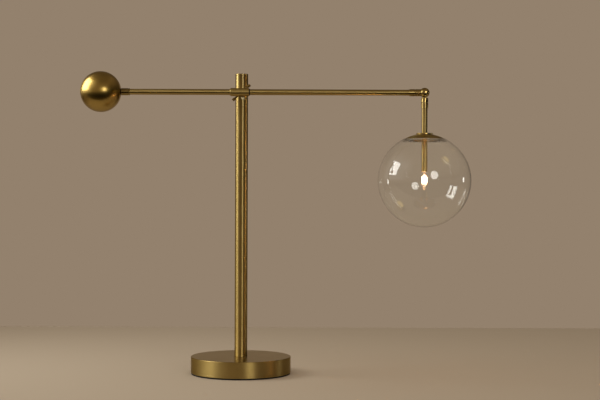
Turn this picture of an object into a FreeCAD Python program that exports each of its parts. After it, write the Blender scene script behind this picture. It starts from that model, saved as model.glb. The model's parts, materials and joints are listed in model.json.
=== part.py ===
import FreeCAD, Part
import math
import os

# Counterbalanced table lamp with a clear glass globe, as an assembly of separate pieces.
# Millimetres. The origin is on the table under the middle of the base. +X runs along the arm
# towards the globe, -Y to the front, +Z up. Five bodies move: base, head, lock nut, arm and drop.

# ---------------------------------------------------------------- clearances
FIT = 0.05          # radial, between pieces that are brazed, screwed or pressed together
RUN = 0.05          # radial, between a shaft and the hole that it turns in
FACE_GAP = 0.05     # between flat faces that slide on each other
CABLE_GAP = 0.4     # radial, around a cable in a bore
SEAT_GAP = 0.02     # radial, between a hollowed seat and the round tube that it is clamped to

# ---------------------------------------------------------------- base
BASE_D = 172.5          # brass cover, outside
BASE_H = 30.0           # table to the top of the cover
PAD_T = 2.5             # black pad under the cover
PAD_INSET = 1.0         # pad's edge, in from the cover's edge
PAD_CHAMFER = 0.6
COVER_T = 1.2           # spun brass sheet
COVER_EDGE_R = 1.2      # rounding of the cover's top edge
HEM_H = 3.5             # fine turned line above the cover's lower edge
HEM_LINE = 0.35         # depth and half width of that line
WEIGHT_GAP = 0.3        # cast weight to the cover's wall, the nipple and the inlet bush
WEIGHT_CHAMFER = 2.0
POCKET_D = 64.0         # recess under the weight for the nut and the terminal block
POCKET_H = 14.0
NIPPLE_D = 10.0         # threaded tube that draws base and column together
NIPPLE_BORE = 7.0
NIPPLE_IN_PLUG = 15.0   # how far it screws into the column's foot plug
BASE_WASHER_D = 26.0
BASE_WASHER_T = 1.6
BASE_NUT_AF = 17.0      # across flats
BASE_NUT_T = 4.5
BASE_NUT_CHAMFER = 0.6
NIPPLE_TAIL = 1.4       # nipple past the nut
INLET_UP = 8.5          # cord inlet's axis above the pad
INLET_BORE = 6.2        # takes a 6 mm lead
INLET_WALL = 1.35
INLET_FLANGE_D = 12.0
INLET_FLANGE_T = 1.5
INLET_FLANGE_R = 0.5    # rounding of the flange's rim
INLET_BODY_L = 7.0      # inlet bush inside the cover's wall
BLOCK_W = 18.0          # terminal block, X by Y by Z
BLOCK_D = 12.0
BLOCK_H = 12.0
BLOCK_Y = 23.0          # its middle, behind the nipple
BLOCK_CORNER_R = 0.8
BLOCK_HOLE_DEPTH = 3.0  # wire holes and screw holes
BLOCK_SCREW_D = 3.0
BLOCK_WIRE_GAP = 0.2
BASE_CABLE_UP = 2.0     # cable above the pad

# ---------------------------------------------------------------- column and head
COLUMN_D = 22.0
COLUMN_T = 1.5          # wall of the column tube
COLUMN_L = 431.2        # from the cover to the swivel ring
RING_T = 0.8            # swivel ring that shows as the seam
RING_INSET = 0.6        # seam's depth
FOOT_PLUG_H = 20.0
TOP_PLUG_H = 20.0       # top bush inside the column tube
HEAD_T = 1.9            # wall of the head tube
HEAD_L = 53.0           # head tube
PIVOT_UP = 23.0         # arm's pivot above the head's lower end
CAP_SEAM = 0.3          # shadow line under the top cap
CAP_T = 2.8
CAP_CHAMFER = 0.5
CAP_PLUG_H = 8.0
CAP_PLUG_T = 2.0        # wall of the cap's hollow plug
SPIGOT_BORE = 8.0
SPIGOT_CHAMFER = 0.5
SPIGOT_SHORT = 5.9      # spigot's end below the pivot
HEAD_SCREW_UP = 14.0    # head screw above the head's lower end
HEAD_SCREW_TURN = 12.0  # degrees, to the right of the front
HEAD_SCREW_D = 4.0
HEAD_SCREW_HEAD_D = 6.5
HEAD_SCREW_HEAD_T = 1.5
HEAD_SCREW_RIM_R = 0.5
HEAD_SCREW_SLOT_W = 0.9
HEAD_SCREW_SLOT_DEPTH = 0.7
DOG_D = 2.6             # plain tip of the head screw, in the spigot's groove
DOG_GAP = 0.3
GROOVE_DEPTH = 1.2
SWIVEL_LIMIT = 165.0    # degrees each way; a land in the groove stops the dog there

# ---------------------------------------------------------------- pivot and lock nut
STUD_D = 6.0
STUD_BORE = 3.2
SADDLE_T = 1.2          # outer saddle washer at its thinnest
SADDLE_D = 10.4
INNER_SADDLE_T = 1.75
INNER_SADDLE_D = 9.2
STUD_NUT_AF = 9.0
STUD_NUT_T = 3.0
STUD_NUT_CHAMFER = 0.4
STUD_TAIL = 0.3         # stud past the nut
LOCK_NUT_D = 11.0
LOCK_NUT_T = 3.6
LOCK_NUT_CHAMFER = 0.3
PIN_TURN = 42.0         # degrees of the upper pin above the arm
PIN_NECK_D = 3.0
PIN_TIP_D = 5.0
PIN_REACH = 20.0        # pivot to the pin's end
PIN_TIP_L = 5.6
PIN_SEAT = 1.6          # pin's root in the nut
PIN_ROOT_STEP = 0.4     # root thinner than the neck, all round
PIN_SHOULDER = 0.2
PIN_FLARE = 1.2
PIN_TIP_CHAMFER = 0.5

# ---------------------------------------------------------------- arm
ARM_D = 10.0
ARM_T = 1.0             # wall of the arm's tubes
SLEEVE_T = 1.95         # wall of the cross sleeve
SLEEVE_LEFT = 18.0      # pivot to the sleeve's left end
SLEEVE_RIGHT = 13.5
SLEEVE_CHAMFER = 0.4
BUSH_LIP = 1.6          # bush that stands out of each end of the sleeve
BUSH_LIP_T = 0.55
BUSH_T = 0.9
BUSH_L = 4.0
BUSH_LIP_CHAMFER = 0.25
WIRE_ROOM = 9.0         # between the ends of the two tubes inside the sleeve
COLLAR_T = 1.0          # wall of the collars on the arm's and the rod's ends
COLLAR_CHAMFER = 0.4

# ---------------------------------------------------------------- counterweight
BALL_REACH = 240.5      # pivot to the ball's centre
BALL_D = 70.0
BALL_T = 1.5
BALL_LIP_H = 3.0        # inner lip that joins the two half shells
BALL_LIP_T = 1.1
BALL_COLLAR_L = 14.2
BALL_COLLAR_WEB = 4.2   # solid end of the collar
BALL_RING_W = 1.2       # fine ring turned at the collar's arm end
BALL_RING_DEPTH = 0.35
BALL_WASHER_D = 10.0
BALL_WASHER_T = 0.7
BALL_WASHER_INSET = 0.3 # washer's edge, in from the ball's flat
BALL_STUD_D = 6.0
BALL_STUD_PAST = 3.0    # stud past the collar's web
CORE_D = 49.0
CORE_L = 36.0
CORE_BOSS_D = 14.0
CORE_CHAMFER = 2.0

# ---------------------------------------------------------------- knuckle
KNUCKLE_REACH = 314.5   # pivot to the knuckle's centre
KNUCKLE_D = 17.0
ELBOW_COLLAR_L = 9.7
NECK_GROOVE = 0.5       # dark line between a collar and its neck
NECK_L = 7.5            # fork's neck, groove to the ball's side
TONGUE_T = 4.0
TONGUE_W = 8.0
TONGUE_END_D = 12.6
TONGUE_GAP = 0.5        # round end of the tongue to the fork
WASHER_T = 0.4
KNUCKLE_SCREW_D = 4.0
KNUCKLE_HEAD_D = 9.0
KNUCKLE_HEAD_T = 1.6
KNUCKLE_HEAD_RIM = 0.7  # upright rim under the head's dome
KNUCKLE_SLOT_W = 1.1
KNUCKLE_SLOT_DEPTH = 0.8
KNUCKLE_SLOT_TURN = 40.0
KNUCKLE_NUT_T = 1.8
KNUCKLE_NUT_CHAMFER = 0.5
KNUCKLE_NUT_FLAT = 0.7  # depth of the two spanner flats
KNUCKLE_NUT_RIM = 0.4   # round rim under them
NECK_GAP = 0.3          # ball to the flat top of the lower neck
DROP_NECK_L = 8.0
DROP_NECK_CHAMFER = 1.0
DROP_NECK_WEB = 2.0     # solid top of the lower neck
SPIGOT_IN = 4.8         # spigots of fork and tongue in their collars
SLOT_OVER = 4.6         # top of the fork's slot above the pivot
INWARD_ROOM = 6.8       # slot's reach towards the arm
WIRE_BORE_D = 4.4       # along the fork's neck

# ---------------------------------------------------------------- drop, cap and globe
DROP_COLLAR_L = 9.7
GLOBE_DROP = 150.6      # knuckle's centre to the globe's centre
GLOBE_D = 160.6
GLASS_T = 2.0
MOUTH_D = 55.0          # globe's opening, inside the sunk seat
SEAT_DEPTH = 3.2        # seat below the shoulder
SHOULDER = 1.5          # shoulder's rounding outside the cap's rim
GASKET_T = 1.3
GASKET_INSET = 0.5      # gasket's bore, in from the seat's edge
CAP_RIM_D = 70.0
CAP_RIM_H = 1.6
CAP_DOME_R = 73.0
CAP_SHEET = 1.0
DISC_D = 28.0
DISC_T = 2.4
DISC_CHAMFER = 0.3
CAP_NIPPLE_D = 7.8
CAP_NIPPLE_BORE = 4.8
CAP_NIPPLE_UP = 12.0    # into the rod
CAP_NIPPLE_DOWN = 10.0  # into the stem
CLIP_T = 0.5
CLIP_W = 5.0
CLIP_RING_W = 1.5       # clip's ring outside the nut
CLIP_GAP = 1.2          # arms to the mouth's edge
CLIP_FOOT_GAP = 0.3     # feet to the seat's underside
CLIP_SHOULDER = 2.0     # bend above the seat
CLIP_TURN_DOWN = 0.8    # end of each foot
CLIP_FOOT = 3.2         # under the globe's seat
HUB_NUT_AF = 15.0
HUB_NUT_T = 3.5
HUB_NUT_CHAMFER = 0.5
STEM_END_UP = 15.6      # stem's lower end above the globe's centre

# ---------------------------------------------------------------- capsule lamp
HOLDER_D = 7.8
HOLDER_L = 14.0
HOLDER_OUT = 1.0        # holder below the stem
PIN_PITCH = 4.0
CONTACT_D = 0.7
CONTACT_L = 5.0
BULB_D = 9.8
BULB_L = 27.0           # holder to the capsule's tip
BULB_T = 0.8
PINCH_W = 8.6
PINCH_T = 3.4
PINCH_L = 7.0
FILAMENT_D = 1.2
FILAMENT_L = 4.6
FILAMENT_UP = 11.0      # coil above the capsule's tip
LEG_D = 0.5

# ---------------------------------------------------------------- wiring
CABLE_D = 2.4
CABLE_BEND = 4.85       # in the head
SLEEVE_BEND = 3.5       # in the sleeve
BASE_BEND = 6.0
CABLE_END = 1.0         # cable's end short of a joint
CABLE_TIP = 0.1         # the same at the pivot's mouth

# ---------------------------------------------------------------- worked out from the above
base_r = BASE_D / 2
column_r = COLUMN_D / 2
arm_r = ARM_D / 2
arm_bore_r = arm_r - ARM_T
sleeve_r = arm_r + FIT + SLEEVE_T
collar_r = arm_r + FIT + COLLAR_T
cable_r = CABLE_D / 2
column_top = BASE_H + COLUMN_L
head_bottom = column_top + RING_T
head_top = head_bottom + HEAD_L
pivot_z = head_bottom + PIVOT_UP
spigot_r = column_r - HEAD_T - RUN
saddle_y = -(column_r + SADDLE_T)
lock_nut_y = saddle_y - FACE_GAP - LOCK_NUT_T
arm_y = lock_nut_y - 2 * FACE_GAP - sleeve_r
ball_r = BALL_D / 2
knuckle_r = KNUCKLE_D / 2
globe_z = pivot_z - GLOBE_DROP
globe_r = GLOBE_D / 2
rim_r = CAP_RIM_D / 2
shoulder_r = rim_r + SHOULDER
shoulder_z = globe_z + math.sqrt(globe_r ** 2 - shoulder_r ** 2)
seat_z = shoulder_z - SEAT_DEPTH
cap_rim_z = seat_z + GASKET_T
disc_r = DISC_D / 2
dome_z = cap_rim_z + CAP_RIM_H - math.sqrt(CAP_DOME_R ** 2 - rim_r ** 2)
cap_top = dome_z + math.sqrt(CAP_DOME_R ** 2 - disc_r ** 2)
disc_top = cap_top + DISC_T
stem_end = globe_z + STEM_END_UP
holder_end = stem_end - HOLDER_OUT


def point(x, y, z):
    return FreeCAD.Vector(x, y, z)


UP = point(0, 0, 1)
RIGHT = point(1, 0, 0)
FRONT = point(0, -1, 0)
ORIGIN = point(0, 0, 0)


def facing(direction, at):
    """Placement that takes a piece turned about +Z to an axis through at."""
    turn = FreeCAD.Rotation(UP, direction)
    return FreeCAD.Placement(at, turn)


def placed(shape, placement):
    moved = shape.copy()
    moved.transformShape(placement.toMatrix())
    return moved


def outline(path):
    """Closed wire from (radius, height) points. A pair of points is an arc: through, end."""
    edges = []
    here = path[0]
    for step in path[1:] + [path[0]]:
        is_arc = isinstance(step[0], tuple)
        end = step[1] if is_arc else step
        start_3d = point(here[0], 0, here[1])
        end_3d = point(end[0], 0, end[1])
        if is_arc:
            middle = point(step[0][0], 0, step[0][1])
            edges.append(Part.Arc(start_3d, middle, end_3d).toShape())
        elif start_3d.distanceToPoint(end_3d) > 1e-6:
            edges.append(Part.LineSegment(start_3d, end_3d).toShape())
        here = end
    return Part.Wire(edges)


def turned(path, placement=None):
    """Solid of revolution of a profile about +Z, then placed."""
    solid = Part.Face(outline(path)).revolve(ORIGIN, UP, 360)
    if solid.Volume < 0:
        solid.reverse()
    if placement:
        solid = placed(solid, placement)
    return solid


def rod(radius, start, direction, length):
    return Part.makeCylinder(radius, length, start, direction)


def tube(outer_r, inner_r, start, direction, length):
    return rod(outer_r, start, direction, length).cut(rod(inner_r, start, direction, length))


def block(x0, x1, y0, y1, z0, z1):
    return Part.makeBox(x1 - x0, y1 - y0, z1 - z0, point(x0, y0, z0))


def hex_nut(across_flats, thickness, bore_r, chamfer):
    """Nut about +Z from 0 to its thickness, with flats at +X and -X and both rims chamfered."""
    corner_r = across_flats / math.sqrt(3)
    corners = []
    for index in range(7):
        angle = math.radians(30 + 60 * index)
        corners.append(point(corner_r * math.cos(angle), corner_r * math.sin(angle), 0))
    prism = Part.Face(Part.makePolygon(corners)).extrude(point(0, 0, thickness))
    flat_r = across_flats / 2
    rim = turned([(0, 0), (flat_r, 0), (flat_r + chamfer * 3, chamfer),
                  (flat_r + chamfer * 3, thickness - chamfer), (flat_r, thickness), (0, thickness)])
    return prism.common(rim).cut(rod(bore_r, ORIGIN, UP, thickness))


def arc_mid(centre, radius, start_deg, end_deg):
    """Point half way along an arc, in the plane of a profile."""
    angle = math.radians((start_deg + end_deg) / 2)
    return (centre[0] + radius * math.cos(angle), centre[1] + radius * math.sin(angle))


def cable_along(stops, bends):
    """Round cable through stops, with a tangent arc of the given radius at each inner stop."""
    edges = []
    here = stops[0]
    for index, bend in enumerate(bends):
        corner = stops[index + 1]
        into = (corner - stops[index]).normalize()
        out = (stops[index + 2] - corner).normalize()
        turn = into.getAngle(out)
        reach = bend * math.tan(turn / 2)
        start = corner - into * reach
        end = corner + out * reach
        inward = (out - into).normalize()
        middle = corner + inward * (bend / math.cos(turn / 2) - bend)
        edges.append(Part.LineSegment(here, start).toShape())
        edges.append(Part.Arc(start, middle, end).toShape())
        here = end
    edges.append(Part.LineSegment(here, stops[-1]).toShape())
    path = Part.Wire(edges)
    section = Part.Wire(Part.Circle(stops[0], (stops[1] - stops[0]).normalize(), cable_r).toShape())
    return path.makePipeShell([section], True, False)


# ================================================================ base
def base_cover():
    """Spun cup, open below, with a rounded top edge and a fine line near its lower edge."""
    inner_r = base_r - COVER_T
    hem_z = PAD_T + HEM_H
    edge = COVER_EDGE_R
    inner_edge = max(edge - COVER_T, 0.2)
    corner = (base_r - edge, BASE_H - edge)
    inner_corner = (inner_r - inner_edge, BASE_H - COVER_T - inner_edge)
    cup = turned([
        (base_r, PAD_T),
        (base_r, hem_z - HEM_LINE),
        (base_r - HEM_LINE, hem_z),
        (base_r, hem_z + HEM_LINE),
        (base_r, BASE_H - edge),
        (arc_mid(corner, edge, 0, 90), (base_r - edge, BASE_H)),
        (NIPPLE_D / 2 + FIT, BASE_H),
        (NIPPLE_D / 2 + FIT, BASE_H - COVER_T),
        (inner_r - inner_edge, BASE_H - COVER_T),
        (arc_mid(inner_corner, inner_edge, 90, 0), (inner_r, inner_corner[1])),
        (inner_r, PAD_T),
    ])
    inlet_hole = rod(INLET_BORE / 2 + INLET_WALL + FIT, point(0, inner_r - 5, inlet_z()), -FRONT, 20)
    return cup.cut(inlet_hole)


def inlet_z():
    return PAD_T + INLET_UP


def base_weight():
    """Cast disc with a pocket below, a bore for the nipple and a channel to the rear inlet."""
    weight_r = base_r - COVER_T - WEIGHT_GAP
    top = BASE_H - COVER_T
    disc = turned([
        (NIPPLE_D / 2 + WEIGHT_GAP, top),
        (NIPPLE_D / 2 + WEIGHT_GAP, pocket_roof()),
        (POCKET_D / 2, pocket_roof()),
        (POCKET_D / 2, PAD_T),
        (weight_r, PAD_T),
        (weight_r, top - WEIGHT_CHAMFER),
        (weight_r - WEIGHT_CHAMFER, top),
    ])
    half_width = INLET_BORE / 2 + INLET_WALL + WEIGHT_GAP
    channel = block(-half_width, half_width, 0, base_r, PAD_T, inlet_z() + half_width)
    return disc.cut(channel)


def base_pad():
    edge_r = base_r - PAD_INSET
    return turned([(0, 0), (edge_r - PAD_CHAMFER, 0), (edge_r, PAD_CHAMFER), (edge_r, PAD_T), (0, PAD_T)])


def base_nipple():
    bottom = pocket_roof() - BASE_WASHER_T - BASE_NUT_T - NIPPLE_TAIL
    length = BASE_H + NIPPLE_IN_PLUG - bottom
    return tube(NIPPLE_D / 2, NIPPLE_BORE / 2, point(0, 0, bottom), UP, length)


def pocket_roof():
    return PAD_T + POCKET_H


def base_washer():
    start = point(0, 0, pocket_roof() - BASE_WASHER_T)
    return tube(BASE_WASHER_D / 2, NIPPLE_D / 2 + FIT, start, UP, BASE_WASHER_T)


def base_nut():
    nut = hex_nut(BASE_NUT_AF, BASE_NUT_T, NIPPLE_D / 2 + FIT, BASE_NUT_CHAMFER)
    return placed(nut, facing(UP, point(0, 0, pocket_roof() - BASE_WASHER_T - BASE_NUT_T)))


def cord_inlet_bush():
    """Flanged bush in the rear of the cover. Its flange is hollowed to the cover's round side."""
    body_r = INLET_BORE / 2 + INLET_WALL
    flange_r = INLET_FLANGE_D / 2
    inner_y = base_r - COVER_T - INLET_BODY_L
    outer_y = base_r + INLET_FLANGE_T
    flange = rod(flange_r, point(0, base_r - 1, inlet_z()), -FRONT, outer_y - base_r + 1)
    flange = flange.cut(rod(base_r + SEAT_GAP, ORIGIN, UP, BASE_H))
    outer_edges = [edge for edge in flange.Edges
                   if abs(edge.BoundBox.YMin - outer_y) < 1e-6 and abs(edge.BoundBox.YMax - outer_y) < 1e-6]
    flange = flange.makeFillet(INLET_FLANGE_R, outer_edges)
    body = rod(body_r, point(0, inner_y, inlet_z()), -FRONT, outer_y - INLET_FLANGE_R - inner_y)
    bore = rod(INLET_BORE / 2, point(0, inner_y - 1, inlet_z()), -FRONT, outer_y - inner_y + 2)
    return flange.fuse(body).cut(bore).removeSplitter()


def terminal_block():
    """Block screwed up to the pocket's roof, with wire holes front and rear."""
    half = BLOCK_W / 2
    roof = pocket_roof()
    body = block(-half, half, BLOCK_Y - BLOCK_D / 2, BLOCK_Y + BLOCK_D / 2, roof - BLOCK_H, roof)
    body = body.makeFillet(BLOCK_CORNER_R, [edge for edge in body.Edges if abs(edge.tangentAt(0).z) > 0.9])
    for side in (-1, 1):
        start = point(0, BLOCK_Y + side * BLOCK_D / 2, base_cable_z())
        body = body.cut(rod(cable_r + BLOCK_WIRE_GAP, start, point(0, -side, 0), BLOCK_HOLE_DEPTH))
        for screw_x in (-half / 2, half / 2):
            screw_at = point(screw_x, BLOCK_Y + side * BLOCK_D / 4, roof - BLOCK_H)
            body = body.cut(rod(BLOCK_SCREW_D / 2, screw_at, UP, BLOCK_HOLE_DEPTH))
    return body


def base_cable_z():
    return PAD_T + BASE_CABLE_UP + cable_r


# ================================================================ column
def column_tube():
    return tube(column_r, column_r - COLUMN_T, point(0, 0, BASE_H), UP, COLUMN_L)


def column_foot_plug():
    plug_r = column_r - COLUMN_T - FIT
    start = point(0, 0, BASE_H)
    return tube(plug_r, NIPPLE_D / 2 + FIT, start, UP, FOOT_PLUG_H)


def column_top_bush():
    """Plug in the column, thin swivel ring, and spigot with the groove that the head screw runs in.

    The groove goes round but for a land at the back, which stops the screw's tip at each limit.
    """
    plug_r = column_r - COLUMN_T - FIT
    bore_r = SPIGOT_BORE / 2
    groove_z = head_bottom + HEAD_SCREW_UP
    half_width = DOG_D / 2 + DOG_GAP
    groove_r = spigot_r - GROOVE_DEPTH
    top = pivot_z - SPIGOT_SHORT
    bush = turned([
        (bore_r, column_top - TOP_PLUG_H),
        (plug_r, column_top - TOP_PLUG_H),
        (plug_r, column_top),
        (column_r - RING_INSET, column_top),
        (column_r - RING_INSET, head_bottom),
        (spigot_r, head_bottom),
        (spigot_r, top - SPIGOT_CHAMFER),
        (spigot_r - SPIGOT_CHAMFER, top),
        (bore_r, top),
    ])
    groove = tube(column_r, groove_r, point(0, 0, groove_z - half_width), UP, 2 * half_width)
    dog_half = math.degrees(math.asin(DOG_D / 2 / groove_r))
    land_half = 180 - SWIVEL_LIMIT - dog_half - 0.5
    back = 90 + HEAD_SCREW_TURN
    return bush.cut(groove.cut(wedge(back - land_half, back + land_half, groove_z)))


def wedge(start_deg, end_deg, middle_z):
    """Thin sector of a disc around the column's axis."""
    half_height = 2 * DOG_D
    corners = [point(0, 0, middle_z - half_height)]
    for angle in (start_deg, end_deg):
        reach = 2 * column_r
        x = reach * math.cos(math.radians(angle))
        y = reach * math.sin(math.radians(angle))
        corners.append(point(x, y, middle_z - half_height))
    corners.append(corners[0])
    return Part.Face(Part.makePolygon(corners)).extrude(point(0, 0, 2 * half_height))


def column_cable():
    """From the terminal block along the pocket, then up through the nipple and the column."""
    start = point(0, BLOCK_Y - BLOCK_D / 2 + BLOCK_HOLE_DEPTH - 0.5, base_cable_z())
    corner = point(0, 0, base_cable_z())
    end = point(0, 0, head_bottom - CABLE_END)
    return cable_along([start, corner, end], [BASE_BEND])


# ================================================================ head
def head_screw_axis():
    """Direction of the head screw, outwards from the column's axis."""
    angle = math.radians(-90 + HEAD_SCREW_TURN)
    return point(math.cos(angle), math.sin(angle), 0)


def head_tube():
    """Upper tube, with a hole for the pivot stud in front and a tapped hole for the head screw."""
    bore_r = column_r - HEAD_T
    body = tube(column_r, bore_r, point(0, 0, head_bottom + FACE_GAP), UP, HEAD_L - FACE_GAP)
    body = body.cut(rod(STUD_D / 2 + RUN, point(0, 0, pivot_z), FRONT, 2 * column_r))
    screw_from = point(0, 0, head_bottom + HEAD_SCREW_UP)
    return body.cut(rod(HEAD_SCREW_D / 2 + FIT, screw_from, head_screw_axis(), 2 * column_r))


def top_cap():
    """Disc with a chamfered edge, on a plug that presses into the head tube."""
    plug_r = column_r - HEAD_T - FIT
    disc_z = head_top + CAP_SEAM
    disc_top_z = disc_z + CAP_T
    return turned([
        (0, disc_top_z),
        (column_r - CAP_CHAMFER, disc_top_z),
        (column_r, disc_top_z - CAP_CHAMFER),
        (column_r, disc_z),
        (column_r - RING_INSET, disc_z),
        (column_r - RING_INSET, head_top),
        (plug_r, head_top),
        (plug_r, head_top - CAP_PLUG_H),
        (plug_r - CAP_PLUG_T, head_top - CAP_PLUG_H),
        (plug_r - CAP_PLUG_T, head_top),
        (0, head_top),
    ])


def slotted(head, head_top_z, radius, width, depth):
    """Cuts a screwdriver slot across the top of a head turned about +Z."""
    return head.cut(block(-radius, radius, -width / 2, width / 2, head_top_z - depth, head_top_z + 1))


def head_screw():
    """Slotted pan-head screw whose plain tip runs in the spigot's groove."""
    groove_r = spigot_r - GROOVE_DEPTH
    head_r = HEAD_SCREW_HEAD_D / 2
    under = math.sqrt(column_r ** 2 - head_r ** 2)
    seat = column_r + SEAT_GAP
    rim = HEAD_SCREW_RIM_R
    top = column_r + HEAD_SCREW_HEAD_T
    tip = groove_r + DOG_GAP
    shank_in = column_r - HEAD_T + DOG_GAP
    shank = turned([
        (0, tip),
        (DOG_D / 2, tip),
        (DOG_D / 2, shank_in),
        (HEAD_SCREW_D / 2, shank_in),
        (HEAD_SCREW_D / 2, seat),
        (0, seat),
    ])
    head = turned([
        (0, under),
        (head_r, under),
        (head_r, top - rim),
        (arc_mid((head_r - rim, top - rim), rim, 0, 90), (head_r - rim, top)),
        (0, top),
    ])
    head = slotted(head, top, head_r + 1, HEAD_SCREW_SLOT_W, HEAD_SCREW_SLOT_DEPTH)
    axis = head_screw_axis()
    at = point(0, 0, head_bottom + HEAD_SCREW_UP)
    head = placed(head, facing(axis, at)).cut(rod(seat, point(0, 0, head_bottom), UP, HEAD_L))
    return head.fuse(placed(shank, facing(axis, at))).removeSplitter()


def outer_saddle():
    """Washer with a flat face to the lock nut and a hollow back that fits the round head."""
    length = SADDLE_T + column_r
    ring = tube(SADDLE_D / 2, STUD_D / 2 + RUN, point(0, 0, pivot_z), FRONT, length)
    return ring.cut(rod(column_r + SEAT_GAP, point(0, 0, head_bottom), UP, HEAD_L))


def inner_saddle():
    """Washer inside the head, round to its wall and flat to the stud nut."""
    bore_r = column_r - HEAD_T
    flat_y = bore_r - INNER_SADDLE_T
    ring = tube(INNER_SADDLE_D / 2, STUD_D / 2 + RUN, point(0, -flat_y, pivot_z), FRONT, 2 * INNER_SADDLE_T)
    return ring.common(rod(bore_r - SEAT_GAP, point(0, 0, head_bottom), UP, HEAD_L))


def head_cable():
    """Up out of the spigot and round to the front, into the mouth of the hollow stud."""
    offset = 1.0
    start = point(0, offset, head_bottom + CABLE_END)
    corner = point(0, offset, pivot_z)
    end = point(0, stud_inner_y() + CABLE_TIP, pivot_z)
    return cable_along([start, corner, end], [CABLE_BEND])


# ================================================================ pivot and lock nut
def stud_nut_y():
    """Front face of the stud nut, inside the head."""
    return -(column_r - HEAD_T - INNER_SADDLE_T) + FACE_GAP


def stud_inner_y():
    return stud_nut_y() + STUD_NUT_T + STUD_TAIL


def stud_front_y():
    return arm_y + arm_r + 2 * FIT


def pivot_stud():
    """Hollow stud brazed into the back of the sleeve. The arm's cable passes through it."""
    length = stud_inner_y() - stud_front_y()
    return tube(STUD_D / 2, STUD_BORE / 2, point(0, stud_inner_y(), pivot_z), FRONT, length)


def stud_nut():
    nut = hex_nut(STUD_NUT_AF, STUD_NUT_T, STUD_D / 2 + FIT, STUD_NUT_CHAMFER)
    return placed(nut, facing(FRONT, point(0, stud_nut_y() + STUD_NUT_T, pivot_z)))


def pin_direction(side):
    angle = math.radians(PIN_TURN)
    return point(side * math.cos(angle), 0, side * math.sin(angle))


def lock_nut_middle():
    return point(0, lock_nut_y + LOCK_NUT_T / 2, pivot_z)


def pin_root_r():
    return PIN_NECK_D / 2 - PIN_ROOT_STEP


def lock_nut():
    """Round nut on the pivot stud, between the saddle and the sleeve, bored for two pins."""
    radius = LOCK_NUT_D / 2
    chamfer = LOCK_NUT_CHAMFER
    body = turned([
        (STUD_D / 2 + RUN, 0),
        (radius - chamfer, 0),
        (radius, chamfer),
        (radius, LOCK_NUT_T - chamfer),
        (radius - chamfer, LOCK_NUT_T),
        (STUD_D / 2 + RUN, LOCK_NUT_T),
    ], facing(FRONT, point(0, lock_nut_y + LOCK_NUT_T, pivot_z)))
    for side in (-1, 1):
        seat_from = lock_nut_middle() + pin_direction(side) * (radius - PIN_SEAT)
        body = body.cut(rod(pin_root_r() + FIT, seat_from, pin_direction(side), PIN_SEAT + 1))
    return body


def lock_pins():
    """Two tommy pins: a stepped root, a thin neck and a flared tip."""
    neck_r = PIN_NECK_D / 2
    tip_r = PIN_TIP_D / 2
    radius = LOCK_NUT_D / 2
    flare = PIN_REACH - PIN_TIP_L
    pins = []
    for side in (-1, 1):
        pins.append(turned([
            (0, radius - PIN_SEAT),
            (pin_root_r(), radius - PIN_SEAT),
            (pin_root_r(), radius),
            (neck_r, radius + PIN_SHOULDER),
            (neck_r, flare),
            (tip_r, flare + PIN_FLARE),
            (tip_r, PIN_REACH - PIN_TIP_CHAMFER),
            (tip_r - PIN_TIP_CHAMFER, PIN_REACH),
            (0, PIN_REACH),
        ], facing(pin_direction(side), lock_nut_middle())))
    return Part.makeCompound(pins)


# ================================================================ arm
def arm_at(x):
    return point(x, arm_y, pivot_z)


def cross_sleeve():
    """Sleeve that holds both tubes, counterbored for the end bushes and bored for the stud."""
    bore_r = arm_r + FIT
    bush_r = bore_r + BUSH_T + FIT
    chamfer = SLEEVE_CHAMFER
    body = turned([
        (bush_r, -SLEEVE_LEFT),
        (sleeve_r - chamfer, -SLEEVE_LEFT),
        (sleeve_r, -SLEEVE_LEFT + chamfer),
        (sleeve_r, SLEEVE_RIGHT - chamfer),
        (sleeve_r - chamfer, SLEEVE_RIGHT),
        (bush_r, SLEEVE_RIGHT),
        (bush_r, SLEEVE_RIGHT - BUSH_L),
        (bore_r, SLEEVE_RIGHT - BUSH_L),
        (bore_r, -SLEEVE_LEFT + BUSH_L),
        (bush_r, -SLEEVE_LEFT + BUSH_L),
    ], facing(RIGHT, arm_at(0)))
    return body.cut(rod(STUD_D / 2 + FIT, arm_at(0), -FRONT, 2 * sleeve_r))


def sleeve_bush(side):
    """Turned bush in one end of the sleeve; its bright lip stands out around the arm."""
    end = SLEEVE_RIGHT if side > 0 else SLEEVE_LEFT
    bore_r = arm_r + FIT
    return turned([
        (bore_r, end - BUSH_L + FIT),
        (bore_r + BUSH_T, end - BUSH_L + FIT),
        (bore_r + BUSH_T, end),
        (bore_r + BUSH_LIP_T, end),
        (bore_r + BUSH_LIP_T, end + BUSH_LIP - BUSH_LIP_CHAMFER),
        (bore_r + BUSH_LIP_T - BUSH_LIP_CHAMFER, end + BUSH_LIP),
        (bore_r, end + BUSH_LIP),
    ], facing(RIGHT * side, arm_at(0)))


def sleeve_bush_left():
    return sleeve_bush(-1)


def sleeve_bush_right():
    return sleeve_bush(1)


def ball_pole():
    """Distance from the pivot to the flat on the ball's arm side."""
    return BALL_REACH - math.sqrt(ball_r ** 2 - (BALL_WASHER_D / 2) ** 2)


def collar_web_end():
    """Distance from the pivot to the ball end of the ball collar."""
    return ball_pole() - BALL_WASHER_T


def arm_tube_left():
    length = collar_web_end() - BALL_COLLAR_WEB - WIRE_ROOM / 2
    return tube(arm_r, arm_bore_r, arm_at(-WIRE_ROOM / 2), -RIGHT, length)


def arm_tube_right():
    length = elbow_groove() - SPIGOT_IN - FIT - WIRE_ROOM / 2
    return tube(arm_r, arm_bore_r, arm_at(WIRE_ROOM / 2), RIGHT, length)


def elbow_groove():
    """Distance from the pivot to the collar side of the groove before the knuckle."""
    return KNUCKLE_REACH - knuckle_r - NECK_L - NECK_GROOVE


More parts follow.
